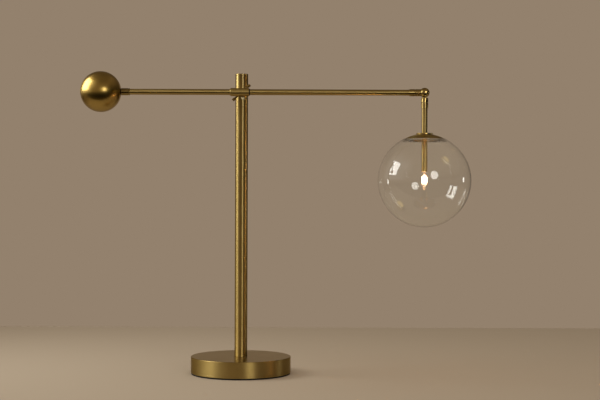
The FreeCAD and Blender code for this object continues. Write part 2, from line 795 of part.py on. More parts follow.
# ================================================================ counterweight
def ball_collar():
    """Collar on the tube's end, with a solid web tapped for the ball stud."""
    near = collar_web_end() - BALL_COLLAR_L
    far = collar_web_end()
    bore_r = arm_r + FIT
    ring_r = collar_r - BALL_RING_DEPTH
    return turned([
        (BALL_STUD_D / 2 + FIT, far),
        (collar_r - COLLAR_CHAMFER, far),
        (collar_r, far - COLLAR_CHAMFER),
        (collar_r, near + 2 * BALL_RING_W),
        (ring_r, near + 2 * BALL_RING_W),
        (ring_r, near + BALL_RING_W),
        (collar_r, near + BALL_RING_W),
        (collar_r, near + COLLAR_CHAMFER),
        (collar_r - COLLAR_CHAMFER, near),
        (bore_r, near),
        (bore_r, far - BALL_COLLAR_WEB),
        (BALL_STUD_D / 2 + FIT, far - BALL_COLLAR_WEB),
    ], facing(-RIGHT, arm_at(0)))


def ball_washer():
    start = arm_at(-collar_web_end())
    return tube(BALL_WASHER_D / 2 - BALL_WASHER_INSET, BALL_STUD_D / 2 + FIT, start, -RIGHT, BALL_WASHER_T)


def ball_half_inner():
    """Half shell on the arm's side, with a flat and a hole for the stud at its pole."""
    inner_r = ball_r - BALL_T
    hole_r = BALL_STUD_D / 2 + FIT
    flat_r = BALL_WASHER_D / 2
    flat_h = math.sqrt(ball_r ** 2 - flat_r ** 2)
    hole_h = math.sqrt(inner_r ** 2 - hole_r ** 2)
    flat_deg = math.degrees(math.acos(flat_r / ball_r))
    hole_deg = math.degrees(math.acos(hole_r / inner_r))
    return turned([
        (ball_r, 0),
        (arc_mid((0, 0), ball_r, 0, flat_deg), (flat_r, flat_h)),
        (hole_r, flat_h),
        (hole_r, hole_h),
        (arc_mid((0, 0), inner_r, hole_deg, 0), (inner_r, 0)),
    ], facing(RIGHT, arm_at(-BALL_REACH)))


def ball_half_outer():
    """Half shell on the far side. Its inner lip fits into the other half."""
    inner_r = ball_r - BALL_T
    lip_r = inner_r - 2 * FIT - BALL_LIP_H ** 2 / (2 * inner_r)
    lip_in_r = lip_r - BALL_LIP_T
    join = math.sqrt(inner_r ** 2 - lip_in_r ** 2)
    join_deg = math.degrees(math.asin(join / inner_r))
    return turned([
        (0, ball_r),
        (arc_mid((0, 0), ball_r, 90, 0), (ball_r, 0)),
        (lip_r, 0),
        (lip_r, -BALL_LIP_H),
        (lip_in_r, -BALL_LIP_H),
        (lip_in_r, join),
        (arc_mid((0, 0), inner_r, join_deg, 90), (0, inner_r)),
    ], facing(-RIGHT, arm_at(-BALL_REACH)))


def ball_core():
    """Turned weight inside the ball. Its boss draws the shell against the collar."""
    half = CORE_L / 2
    inner_r = ball_r - BALL_T
    boss_r = CORE_BOSS_D / 2
    boss_end = math.sqrt(inner_r ** 2 - boss_r ** 2) - FIT
    chamfer = CORE_CHAMFER
    return turned([
        (BALL_STUD_D / 2 + FIT, boss_end),
        (boss_r, boss_end),
        (boss_r, half),
        (CORE_D / 2 - chamfer, half),
        (CORE_D / 2, half - chamfer),
        (CORE_D / 2, chamfer - half),
        (CORE_D / 2 - chamfer, -half),
        (BALL_STUD_D / 2 + FIT, -half),
    ], facing(RIGHT, arm_at(-BALL_REACH)))


def ball_stud():
    near = collar_web_end() - BALL_COLLAR_WEB - BALL_STUD_PAST
    return rod(BALL_STUD_D / 2, arm_at(-near), -RIGHT, BALL_REACH + CORE_L / 2 - near)


# ================================================================ knuckle
def elbow_collar():
    end = elbow_groove()
    chamfer = COLLAR_CHAMFER
    return turned([
        (arm_r + FIT, end - ELBOW_COLLAR_L),
        (collar_r - chamfer, end - ELBOW_COLLAR_L),
        (collar_r, end - ELBOW_COLLAR_L + chamfer),
        (collar_r, end),
        (arm_r + FIT, end),
    ], facing(RIGHT, arm_at(0)))


def fork_slot_half():
    return TONGUE_T / 2 + WASHER_T + 2 * FACE_GAP


def screw_flat():
    """Distance from the ball's centre to the flats under the screw's head and the nut."""
    return math.sqrt(knuckle_r ** 2 - (KNUCKLE_HEAD_D / 2) ** 2)


def knuckle_fork():
    """Ball cut by a slot into two cheeks, on a hollow neck and a spigot that enters the tube collar.

    The slot is open below and on the outer side, where the tongue swings, and closed over the top.
    """
    centre = arm_at(KNUCKLE_REACH)
    ball = Part.makeSphere(knuckle_r, centre)
    flat = screw_flat()
    reach = 2 * knuckle_r
    for side in (-1, 1):
        near = min(side * flat, side * reach)
        far = max(side * flat, side * reach)
        ball = ball.cut(block(centre.x - reach, centre.x + reach, arm_y + near, arm_y + far,
                              pivot_z - reach, pivot_z + reach))
    neck_start = elbow_groove() + NECK_GROOVE
    neck = rod(collar_r, arm_at(neck_start), RIGHT, KNUCKLE_REACH - neck_start)
    spigot = rod(arm_r, arm_at(neck_start - NECK_GROOVE - SPIGOT_IN), RIGHT, NECK_GROOVE + SPIGOT_IN + 1)
    body = ball.fuse([neck, spigot])
    half = fork_slot_half()
    room_r = TONGUE_END_D / 2 + TONGUE_GAP
    slot = rod(room_r, point(centre.x, arm_y + half, pivot_z), FRONT, 2 * half)
    slot = slot.fuse([
        block(centre.x, centre.x + reach, arm_y - half, arm_y + half, pivot_z - reach, pivot_z + SLOT_OVER),
        block(centre.x - INWARD_ROOM, centre.x + 1, arm_y - half, arm_y + half, pivot_z - reach, pivot_z),
    ])
    wire_from = neck_start - NECK_GROOVE - SPIGOT_IN - 1
    wire_bore = rod(WIRE_BORE_D / 2, arm_at(wire_from), RIGHT, KNUCKLE_REACH - wire_from)
    screw_hole = rod(KNUCKLE_SCREW_D / 2 + FIT, point(centre.x, arm_y + reach, pivot_z), FRONT, 2 * reach)
    return body.cut([slot, wire_bore, screw_hole]).removeSplitter()


def knuckle_washers():
    """Two thin friction washers, one on each side of the tongue."""
    inner = fork_slot_half()
    rings = []
    for side in (-1, 1):
        start = point(KNUCKLE_REACH, arm_y + side * inner, pivot_z)
        ring = tube(TONGUE_END_D / 2 - 0.4, KNUCKLE_SCREW_D / 2 + FIT, start, FRONT * side, WASHER_T)
        rings.append(ring)
    return Part.makeCompound(rings)


def knuckle_screw():
    """Slotted screw through both cheeks, with a low domed head on the front flat."""
    flat = screw_flat()
    head_r = KNUCKLE_HEAD_D / 2
    top = flat + KNUCKLE_HEAD_T
    rim = flat + KNUCKLE_HEAD_RIM
    dome_rise = top - rim
    dome_r = (head_r ** 2 + dome_rise ** 2) / (2 * dome_rise)
    dome_deg = math.degrees(math.acos(head_r / dome_r))
    end = -flat - KNUCKLE_NUT_T + FIT
    body = turned([
        (0, end),
        (KNUCKLE_SCREW_D / 2, end),
        (KNUCKLE_SCREW_D / 2, flat),
        (head_r, flat),
        (head_r, rim),
        (arc_mid((0, top - dome_r), dome_r, dome_deg, 90), (0, top)),
    ])
    body = slotted(body, top, head_r + 1, KNUCKLE_SLOT_W, KNUCKLE_SLOT_DEPTH)
    turn = FreeCAD.Placement(ORIGIN, FreeCAD.Rotation(UP, KNUCKLE_SLOT_TURN))
    return placed(placed(body, turn), facing(FRONT, arm_at(KNUCKLE_REACH)))


def knuckle_nut():
    """Low round nut with two spanner flats on the rear cheek."""
    flat = screw_flat()
    radius = KNUCKLE_HEAD_D / 2
    top = flat + KNUCKLE_NUT_T
    body = turned([
        (KNUCKLE_SCREW_D / 2 + FIT, flat),
        (radius, flat),
        (radius, top - KNUCKLE_NUT_CHAMFER),
        (radius - KNUCKLE_NUT_CHAMFER, top),
        (KNUCKLE_SCREW_D / 2 + FIT, top),
    ])
    across = radius - KNUCKLE_NUT_FLAT
    for side in (-1, 1):
        near = min(side * across, side * 2 * radius)
        far = max(side * across, side * 2 * radius)
        body = body.cut(block(near, far, -radius, radius, flat + KNUCKLE_NUT_RIM, top + 1))
    return placed(body, facing(-FRONT, arm_at(KNUCKLE_REACH)))


def knuckle_tongue():
    """Round-ended tongue in the fork's slot, on a neck and a spigot that enters the rod's collar."""
    centre = arm_at(KNUCKLE_REACH)
    half = TONGUE_T / 2
    neck_top = pivot_z - knuckle_r - NECK_GAP
    neck_end = neck_top - DROP_NECK_L
    end = rod(TONGUE_END_D / 2, point(centre.x, arm_y + half, pivot_z), FRONT, TONGUE_T)
    shank = block(centre.x - TONGUE_W / 2, centre.x + TONGUE_W / 2, arm_y - half, arm_y + half,
                  neck_top - 1, pivot_z)
    neck = turned([
        (0, neck_end),
        (collar_r, neck_end),
        (collar_r, neck_top - DROP_NECK_CHAMFER),
        (collar_r - DROP_NECK_CHAMFER, neck_top),
        (0, neck_top),
    ], facing(UP, point(centre.x, arm_y, 0)))
    spigot = rod(arm_r, point(centre.x, arm_y, neck_end), -UP, NECK_GROOVE + SPIGOT_IN)
    body = end.fuse([shank, neck, spigot])
    wire_from = point(centre.x, arm_y, neck_end - NECK_GROOVE - SPIGOT_IN - 1)
    wire_bore = rod(cable_r + CABLE_GAP, wire_from, UP, neck_top - DROP_NECK_WEB - wire_from.z)
    reach = 2 * knuckle_r
    screw_hole = rod(KNUCKLE_SCREW_D / 2 + RUN, point(centre.x, arm_y + reach, pivot_z), FRONT, 2 * reach)
    return body.cut([wire_bore, screw_hole]).removeSplitter()


def arm_cable():
    """Through the stud, round into the sleeve and along the arm to the knuckle."""
    start = point(0, stud_inner_y() - CABLE_TIP, pivot_z)
    end = arm_at(KNUCKLE_REACH - TONGUE_END_D / 2 - TONGUE_GAP - CABLE_END)
    return cable_along([start, arm_at(0), end], [SLEEVE_BEND])


# ================================================================ drop
def drop_at(z):
    return point(KNUCKLE_REACH, arm_y, z)


def drop_axis():
    return facing(UP, drop_at(0))


def neck_end_z():
    return pivot_z - knuckle_r - NECK_GAP - DROP_NECK_L


def drop_collar():
    top = neck_end_z() - NECK_GROOVE
    bottom = top - DROP_COLLAR_L
    return turned([
        (arm_r + FIT, top),
        (collar_r, top),
        (collar_r, bottom + COLLAR_CHAMFER),
        (collar_r - COLLAR_CHAMFER, bottom),
        (arm_r + FIT, bottom),
    ], drop_axis())


def drop_rod():
    top = neck_end_z() - NECK_GROOVE - SPIGOT_IN - FIT
    return tube(arm_r, arm_bore_r, drop_at(disc_top), UP, top - disc_top)


def cap_disc():
    """Thin polished disc between the rod and the cap."""
    chamfer = DISC_CHAMFER
    bore_r = CAP_NIPPLE_D / 2 + FIT
    return turned([
        (bore_r, cap_top),
        (disc_r, cap_top),
        (disc_r, disc_top - chamfer),
        (disc_r - chamfer, disc_top),
        (bore_r, disc_top),
    ], drop_axis())


def globe_cap():
    """Spun dome with a flat for the disc and a short turned-down rim that sits on the gasket."""
    inner_dome_r = CAP_DOME_R - CAP_SHEET
    inner_rim_r = rim_r - CAP_SHEET
    bore_r = CAP_NIPPLE_D / 2 + FIT
    rim_top = cap_rim_z + CAP_RIM_H
    inner_flat = cap_top - CAP_SHEET
    flat_inner_r = math.sqrt(inner_dome_r ** 2 - (inner_flat - dome_z) ** 2)
    inner_rim_top = dome_z + math.sqrt(inner_dome_r ** 2 - inner_rim_r ** 2)
    outer_start = math.degrees(math.acos(disc_r / CAP_DOME_R))
    outer_end = math.degrees(math.acos(rim_r / CAP_DOME_R))
    inner_start = math.degrees(math.acos(inner_rim_r / inner_dome_r))
    inner_end = math.degrees(math.acos(flat_inner_r / inner_dome_r))
    return turned([
        (bore_r, cap_top),
        (disc_r, cap_top),
        (arc_mid((0, dome_z), CAP_DOME_R, outer_start, outer_end), (rim_r, rim_top)),
        (rim_r, cap_rim_z),
        (inner_rim_r, cap_rim_z),
        (inner_rim_r, inner_rim_top),
        (arc_mid((0, dome_z), inner_dome_r, inner_start, inner_end), (flat_inner_r, inner_flat)),
        (bore_r, inner_flat),
    ], drop_axis())


def cap_gasket():
    """Soft flat ring under the cap's rim, on the globe's sunk seat."""
    inner_r = MOUTH_D / 2 + GASKET_INSET
    return tube(rim_r - FIT, inner_r, drop_at(seat_z), UP, GASKET_T)


def cap_under():
    """Height of the flat on the underside of the cap."""
    return cap_top - CAP_SHEET


def cap_nipple():
    bottom = cap_under() - CLIP_T - HUB_NUT_T - CAP_NIPPLE_DOWN
    length = disc_top + CAP_NIPPLE_UP - bottom
    return tube(CAP_NIPPLE_D / 2, CAP_NIPPLE_BORE / 2, drop_at(bottom), UP, length)


def clip_spring():
    """Three-armed flat spring. Each arm drops through the globe's mouth and hooks under its seat."""
    ring_r = HUB_NUT_AF / 2 + CLIP_RING_W
    mid_z = cap_under() - CLIP_T / 2
    seat_under = seat_z - GLASS_T
    foot_z = seat_under - CLIP_FOOT_GAP - CLIP_T / 2
    drop_r = MOUTH_D / 2 - CLIP_GAP - CLIP_T / 2
    run = [
        point(ring_r - 1, 0, mid_z),
        point(ring_r + 1, 0, mid_z),
        point(drop_r - CLIP_GAP, 0, seat_z + CLIP_SHOULDER),
        point(drop_r, 0, foot_z),
        point(drop_r + CLIP_FOOT, 0, foot_z),
        point(drop_r + CLIP_FOOT + CLIP_TURN_DOWN, 0, foot_z - CLIP_TURN_DOWN),
    ]
    strip = Part.makePolygon(run).makeOffset2D(CLIP_T / 2, 0, True, False)
    arm = strip.extrude(point(0, CLIP_W, 0))
    arm.translate(point(0, -CLIP_W / 2, 0))
    hub = tube(ring_r, CAP_NIPPLE_D / 2 + FIT, point(0, 0, mid_z - CLIP_T / 2), UP, CLIP_T)
    arms = []
    for index in range(3):
        turn = FreeCAD.Placement(ORIGIN, FreeCAD.Rotation(UP, 90 + 120 * index))
        arms.append(placed(arm, turn))
    return placed(hub.fuse(arms).removeSplitter(), drop_axis())


def hub_nut():
    nut = hex_nut(HUB_NUT_AF, HUB_NUT_T, CAP_NIPPLE_D / 2 + FIT, HUB_NUT_CHAMFER)
    return placed(nut, facing(UP, drop_at(cap_under() - CLIP_T - HUB_NUT_T)))


def globe_glass():
    """Clear blown globe, closed below, with a sunk flat seat around its mouth."""
    inner_r = globe_r - GLASS_T
    mouth_r = MOUTH_D / 2
    step_r = rim_r + SHOULDER * 0.35
    seat_h = seat_z - globe_z
    shoulder_h = shoulder_z - globe_z
    under_h = seat_h - GLASS_T
    outer_deg = math.degrees(math.asin(shoulder_h / globe_r))
    hollow_r = shoulder_r + GLASS_T
    hollow_h = math.sqrt(inner_r ** 2 - hollow_r ** 2)
    hollow_deg = math.degrees(math.asin(hollow_h / inner_r))
    return turned([
        (0, -globe_r),
        (arc_mid((0, 0), globe_r, -90, outer_deg), (shoulder_r, shoulder_h)),
        ((step_r + 0.25, shoulder_h - 0.35), (step_r, shoulder_h - 1.2)),
        (step_r, seat_h),
        (mouth_r + 0.5, seat_h),
        ((mouth_r, seat_h - GLASS_T / 2), (mouth_r + 0.5, under_h)),
        (step_r - 0.8, under_h),
        ((step_r + 0.9, under_h + 0.35), (hollow_r, hollow_h)),
        (arc_mid((0, 0), inner_r, hollow_deg, -90), (0, -inner_r)),
    ], facing(UP, drop_at(globe_z)))


def stem_tube():
    top = cap_under() - CLIP_T - HUB_NUT_T
    return tube(arm_r, arm_bore_r, drop_at(stem_end), UP, top - stem_end)


# ================================================================ capsule lamp
def contact_places():
    half = PIN_PITCH / 2
    return [point(KNUCKLE_REACH - half, arm_y, holder_end), point(KNUCKLE_REACH + half, arm_y, holder_end)]


def lamp_holder():
    """Ceramic plug in the stem's end, with two sockets for the lamp's contact pins."""
    radius = min(HOLDER_D / 2, arm_bore_r - FIT)
    body = rod(radius, drop_at(holder_end), UP, HOLDER_L)
    for place in contact_places():
        body = body.cut(rod(CONTACT_D / 2 + FIT, place, UP, CONTACT_L + 0.5))
    return body


def bulb_pins():
    pins = [rod(CONTACT_D / 2, place, UP, CONTACT_L) for place in contact_places()]
    return Part.makeCompound(pins)


def bulb_glass():
    """Capsule with a round tip, hollow, pinched flat at its upper end."""
    radius = BULB_D / 2
    inner_r = radius - BULB_T
    tip = holder_end - BULB_L
    body_top = holder_end - PINCH_L + 1.5
    capsule = turned([
        (0, tip),
        (arc_mid((0, tip + radius), radius, -90, 0), (radius, tip + radius)),
        (radius, body_top - 2.5),
        ((radius - 0.8, body_top - 0.8), (radius - 2.5, body_top)),
        (0, body_top),
    ], drop_axis())
    pinch = block(KNUCKLE_REACH - PINCH_W / 2, KNUCKLE_REACH + PINCH_W / 2,
                  arm_y - PINCH_T / 2, arm_y + PINCH_T / 2, body_top - 2.6, holder_end)
    cavity = turned([
        (0, tip + BULB_T),
        (arc_mid((0, tip + radius), inner_r, -90, 0), (inner_r, tip + radius)),
        (inner_r, body_top - 4.5),
        (inner_r - 1.6, body_top - 3.0),
        (0, body_top - 3.0),
    ], drop_axis())
    return capsule.fuse(pinch).cut(cavity).removeSplitter()


def bulb_filament():
    """Upright coil, as a plain bar, between two support legs."""
    tip = holder_end - BULB_L
    cavity_top = holder_end - PINCH_L + 1.5 - 3.0
    coil_z = tip + FILAMENT_UP
    coil = rod(FILAMENT_D / 2, point(KNUCKLE_REACH - FILAMENT_L / 2, arm_y, coil_z), RIGHT, FILAMENT_L)
    legs = []
    for side in (-1, 1):
        leg_x = KNUCKLE_REACH + side * (FILAMENT_L / 2 - LEG_D)
        legs.append(rod(LEG_D / 2, point(leg_x, arm_y, coil_z), UP, cavity_top - coil_z))
    return coil.fuse(legs)


def drop_cable():
    """Down the rod and the stem, from the knuckle's neck to the lamp holder."""
    top = neck_end_z() + DROP_NECK_L - DROP_NECK_WEB - CABLE_END
    bottom = holder_end + HOLDER_L
    return rod(cable_r, drop_at(bottom), UP, top - bottom)


PIECES = {
    "base_cover": base_cover,
    "base_weight": base_weight,
    "base_pad": base_pad,
    "base_nipple": base_nipple,
    "base_washer": base_washer,
    "base_nut": base_nut,
    "cord_inlet_bush": cord_inlet_bush,
    "terminal_block": terminal_block,
    "column_tube": column_tube,
    "column_foot_plug": column_foot_plug,
    "column_top_bush": column_top_bush,
    "column_cable": column_cable,
    "head_tube": head_tube,
    "top_cap": top_cap,
    "head_screw": head_screw,
    "outer_saddle": outer_saddle,
    "inner_saddle": inner_saddle,
    "head_cable": head_cable,
    "lock_nut": lock_nut,
    "lock_pins": lock_pins,
    "cross_sleeve": cross_sleeve,
    "pivot_stud": pivot_stud,
    "stud_nut": stud_nut,
    "sleeve_bush_left": sleeve_bush_left,
    "sleeve_bush_right": sleeve_bush_right,
    "arm_tube_left": arm_tube_left,
    "arm_tube_right": arm_tube_right,
    "arm_cable": arm_cable,
    "ball_collar": ball_collar,
    "ball_washer": ball_washer,
    "ball_stud": ball_stud,
    "ball_half_inner": ball_half_inner,
    "ball_half_outer": ball_half_outer,
    "ball_core": ball_core,
    "elbow_collar": elbow_collar,
    "knuckle_fork": knuckle_fork,
    "knuckle_screw": knuckle_screw,
    "knuckle_nut": knuckle_nut,
    "knuckle_washers": knuckle_washers,
    "knuckle_tongue": knuckle_tongue,
    "drop_collar": drop_collar,
    "drop_rod": drop_rod,
    "cap_disc": cap_disc,
    "globe_cap": globe_cap,
    "cap_gasket": cap_gasket,
    "cap_nipple": cap_nipple,
    "clip_spring": clip_spring,
    "hub_nut": hub_nut,
    "globe_glass": globe_glass,
    "stem_tube": stem_tube,
    "lamp_holder": lamp_holder,
    "bulb_pins": bulb_pins,
    "bulb_glass": bulb_glass,
    "bulb_filament": bulb_filament,
    "drop_cable": drop_cable,
}

os.makedirs("parts", exist_ok=True)
for name, make in PIECES.items():
    shape = make()
    if not shape.isValid():
        raise ValueError(name + " is not a valid shape")
    shape.exportStep("parts/" + name + ".step")
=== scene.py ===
"""Looks of a counterbalanced table lamp with a clear glass globe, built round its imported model.

Metres. The origin is on the table under the middle of the base, +X runs along the arm towards the
globe, -Y to the front and +Z up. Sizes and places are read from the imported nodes.
"""
import json
import math

import bpy
import numpy as np
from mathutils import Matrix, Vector

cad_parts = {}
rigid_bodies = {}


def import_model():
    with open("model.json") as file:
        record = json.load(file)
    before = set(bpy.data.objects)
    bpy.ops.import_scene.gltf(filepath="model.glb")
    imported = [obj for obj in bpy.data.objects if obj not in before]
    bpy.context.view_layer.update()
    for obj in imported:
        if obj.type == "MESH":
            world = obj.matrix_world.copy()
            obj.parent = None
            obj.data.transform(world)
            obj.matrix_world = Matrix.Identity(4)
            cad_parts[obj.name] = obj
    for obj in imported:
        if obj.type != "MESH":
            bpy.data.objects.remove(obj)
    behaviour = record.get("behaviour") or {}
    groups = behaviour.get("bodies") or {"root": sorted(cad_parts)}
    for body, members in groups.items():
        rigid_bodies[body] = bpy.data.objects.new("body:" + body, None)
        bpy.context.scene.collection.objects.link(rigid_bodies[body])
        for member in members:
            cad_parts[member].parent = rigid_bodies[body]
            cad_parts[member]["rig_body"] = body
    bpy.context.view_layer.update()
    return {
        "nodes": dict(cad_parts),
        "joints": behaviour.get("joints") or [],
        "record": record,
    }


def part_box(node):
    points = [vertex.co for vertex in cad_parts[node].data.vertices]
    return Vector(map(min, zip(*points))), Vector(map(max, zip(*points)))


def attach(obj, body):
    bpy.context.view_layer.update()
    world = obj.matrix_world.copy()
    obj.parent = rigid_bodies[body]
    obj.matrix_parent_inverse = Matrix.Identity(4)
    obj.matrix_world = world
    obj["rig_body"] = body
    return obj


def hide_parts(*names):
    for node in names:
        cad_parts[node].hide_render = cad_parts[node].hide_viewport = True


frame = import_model()

MM = 0.001
MICRON = 1e-6
WELD = 2e-6                 # corners of a node closer than this are one corner
SAME = 1e-7                 # points of a profile closer than this share one ring of corners
ON_AXIS = 1.1e-8            # a point of a profile nearer to the axis than this is a pole
CREASE = math.radians(32)   # where a surface bends more sharply than this, it keeps an edge
ROUND = 128                 # faces round a turned piece,
WIDE_ROUND = 192            # round the ball and the cap,
WIDEST_ROUND = 256          # and round the base and the globe
EDGE_STEPS = 5              # faces across a rounded corner

TUBE_HOLE = 5.05 * MM       # radius of a hole that a tube of the arm or the drop passes
STUD_HOLE = 3.05 * MM       # of one that the ball's stud passes
NIPPLE_HOLE = 3.95 * MM     # of one that the cap's nipple passes

knuckle = np.array(next(j for j in frame["joints"] if j["name"] == "knuckle_tilt")["pos_m"])
COLUMN = ((0.0, 0.0, 0.0), (0.0, 0.0, 1.0))                 # a point on the axis, and its direction
ARM = ((0.0, knuckle[1], knuckle[2]), (1.0, 0.0, 0.0))
DROP = ((knuckle[0], knuckle[1], 0.0), (0.0, 0.0, 1.0))


# ================================================================ measures of the nodes
def extent(node, line):
    """Radius of a node about a line, and where it starts and ends along it."""
    low, high = (np.array(corner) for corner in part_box(node))
    axis = int(np.argmax(np.abs(line[1])))
    others = [i for i in range(3) if i != axis]
    radius = max(max(high[i] - line[0][i], line[0][i] - low[i]) for i in others)
    return radius, low[axis], high[axis]


def slot_of(node):
    """The record's material slot of a node."""
    return next(part["material_slot"] for part in frame["record"]["subparts"] if part["node"] == node)


# ================================================================ profiles
# A profile is a list of strokes in the plane of (distance from the axis, place along it), walked
# with the outside on the right. A stroke is its points and the outward normal at each of them.
def straight(start, end):
    """Straight stroke: its two ends, and the run between them turned a quarter to the right."""
    points = np.array([start, end], float)
    run = points[1] - points[0]
    normal = np.array([run[1], -run[0]]) / np.linalg.norm(run)
    return points, np.array([normal, normal])


def arc(centre, radius, start, end, steps):
    """Stroke centre + radius * (cos a, sin a), for a from start to end in degrees. Its normal is
    (cos a, sin a), turned round where a falls."""
    angles = np.radians(np.linspace(start, end, steps + 1))
    outward = np.stack([np.cos(angles), np.sin(angles)], axis=1)
    return np.array(centre) + radius * outward, outward * np.sign(end - start)


def arc_angle(distance, radius):
    """Angle in degrees, 0 to 90, at which an arc centred on the axis is that far from it."""
    return math.degrees(math.acos(distance / radius))


def outline(*corners):
    """Closed profile that runs straight through (distance, place) corners. A third value rounds a
    corner by an arc of that radius, which starts and ends radius * tan(half the turn) away from it."""
    corner = np.array([c[:2] for c in corners], float)
    edge = np.array([c[2] if len(c) > 2 else 0.0 for c in corners])
    ahead = np.roll(corner, -1, axis=0) - corner
    ahead /= np.linalg.norm(ahead, axis=1)[:, None]
    behind = np.roll(ahead, 1, axis=0)
    turn = np.arctan2(behind[:, 0] * ahead[:, 1] - behind[:, 1] * ahead[:, 0], (behind * ahead).sum(1))
    reach = (edge * np.tan(np.abs(turn) / 2))[:, None]
    starts, ends = corner - behind * reach, corner + ahead * reach
    left = np.stack([-behind[:, 1], behind[:, 0]], axis=1)
    centres = starts + np.sign(turn)[:, None] * left * edge[:, None]
    strokes = []
    for i in range(len(corner)):
        if edge[i] > 0:
            first = math.degrees(math.atan2(*(starts[i] - centres[i])[::-1]))
            strokes.append(arc(centres[i], edge[i], first, first + math.degrees(turn[i]), EDGE_STEPS))
        strokes.append(straight(ends[i], starts[(i + 1) % len(corner)]))
    return strokes


def joined(*parts):
    """Closed profile from arcs and (distance, place) points in the order in which they are walked,
    with a straight stroke from each to the next, unless they touch."""
    walk = [part if isinstance(part[0], np.ndarray) else (np.array([part], float), None) for part in parts]
    strokes = []
    for (points, normals), (following, _) in zip(walk, walk[1:] + walk[:1]):
        if normals is not None:
            strokes.append((points, normals))
        if np.linalg.norm(following[0] - points[-1]) > SAME:
            strokes.append(straight(points[-1], following[0]))
    return strokes


def pipe(radius, bore, start, end, edge):
    """Profile of a pipe: a rectangle from bore to radius and start to end, with both outer rims
    rounded."""
    return outline((bore, start), (radius, start, edge), (radius, end, edge), (bore, end))


# ================================================================ meshes
def shown(name, data):
    """New object of some data, put into the scene."""
    made = bpy.data.objects.new(name, data)
    bpy.context.scene.collection.objects.link(made)
    return made


def piece(node, points, faces, normals, body, slot, finish):
    """Mesh object that stands for a node, from corner places, faces (rows of corners) and a normal for
    each face's corners."""
    mesh = bpy.data.meshes.new(node + "_finished")
    mesh.from_pydata(points, [], faces)
    mesh.polygons.foreach_set("use_smooth", np.ones(len(mesh.polygons), bool))
    mesh.update()
    if normals is not None:
        mesh.normals_split_custom_set(normals)
    mesh.materials.append(finish)
    made = shown(node + "_finished", mesh)
    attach(made, body)
    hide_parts(node)
    return made


def revolved(line, strokes, count):
    """Surface of revolution: point + place * along + distance * (cos t * across + sin t * beside), for
    t round a full turn. Its normals are those of the strokes, turned in the same way.

    Equal points of the profile share one ring of corners, and a point on the axis is one pole, where
    the faces are triangles.
    """
    point, along = (np.array(v, float) for v in line)
    across = np.cross(along, (0.0, 1.0, 0.0))
    beside = np.cross(along, across)
    profile = np.vstack([points for points, _ in strokes])
    normal = np.vstack([normals for _, normals in strokes])
    owner = np.repeat(np.arange(len(strokes)), [len(points) for points, _ in strokes])
    keys = np.round(profile / SAME).astype(np.int64)
    _, first, ring = np.unique(keys, axis=0, return_index=True, return_inverse=True)
    ring, rings = ring.ravel(), profile[first]
    pole = rings[:, 0] < ON_AXIS
    turn = 2 * np.pi * np.arange(count) / count
    spoke = np.cos(turn)[:, None] * across + np.sin(turn)[:, None] * beside
    places = point + rings[:, 1, None, None] * along + rings[:, 0, None, None] * spoke
    used = ~pole[:, None] | (np.arange(count) == 0)
    corner = np.cumsum(used).reshape(used.shape) - 1
    here, there = ring[:-1], ring[1:]
    band = np.nonzero((owner[:-1] == owner[1:]) & (here != there) & ~(pole[here] & pole[there]))[0]
    row = np.stack([band, band, band + 1, band + 1], axis=1)[:, None]
    column = (np.arange(count)[:, None] + (0, 1, 1, 0)) % count
    faces = corner[ring[row], column]
    normals = normal[row][..., :1] * spoke[column] + normal[row][..., 1:] * along
    kept = np.ones(faces.shape, bool)
    kept[pole[here[band]], :, 0] = False
    kept[pole[there[band]], :, 2] = False
    ends = np.cumsum(kept.sum(axis=2).ravel())
    return places[used], np.split(faces[kept], ends[:-1]), normals[kept]


def turned(node, body, slot, finish, line, strokes, count=ROUND):
    """Piece that stands for a node: its profile turned about a line."""
    return piece(node, *revolved(line, strokes, count), body, slot, finish)


def dressed(node, finish, line=None):
    """A node's own shape with its corners joined, so that its round faces shade smoothly. Where a line
    is given, the corners of its widest round face point straight away from that line."""
    source = frame["nodes"][node].data
    places = np.empty(len(source.vertices) * 3)
    source.vertices.foreach_get("co", places)
    corners = np.empty(len(source.loops), np.int32)
    source.loops.foreach_get("vertex_index", corners)
    places = places.reshape(-1, 3)
    keys = np.round(places / WELD).astype(np.int64)
    _, first, same = np.unique(keys, axis=0, return_index=True, return_inverse=True)
    points, faces = places[first], same.ravel()[corners].reshape(-1, 3)
    faces = faces[(faces != np.roll(faces, 1, axis=1)).all(axis=1)]
    made = piece(node, points, faces, None, frame["nodes"][node]["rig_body"], slot_of(node), finish)
    mesh = made.data
    mesh.set_sharp_from_angle(angle=CREASE)
    if line:
        nearly_along, skin = 0.98, 0.02 * MM        # how straight and how far out a corner of that face is
        normals = np.empty(len(mesh.loops) * 3)
        mesh.corner_normals.foreach_get("vector", normals)
        flat = np.empty(len(mesh.polygons) * 3)
        mesh.polygons.foreach_get("normal", flat)
        away = points[faces].reshape(-1, 3) - np.array(line[0])
        away -= (away @ np.array(line[1]))[:, None] * np.array(line[1])
        distance = np.linalg.norm(away, axis=1)
        away /= np.maximum(distance, WELD)[:, None]
        facing = (np.repeat(flat.reshape(-1, 3), 3, axis=0) * away).sum(1)
        outer = (facing > nearly_along) & (distance > distance.max() - skin)
        mesh.normals_split_custom_set(np.where(outer[:, None], away, normals.reshape(-1, 3)))


# ================================================================ material nodes
def linear(hex_colour):
    """sRGB hex to linear red, green, blue and full alpha."""
    values = [int(hex_colour[i:i + 2], 16) / 255 for i in (1, 3, 5)]
    return (*[v / 12.92 if v <= 0.04045 else ((v + 0.055) / 1.055) ** 2.4 for v in values], 1.0)


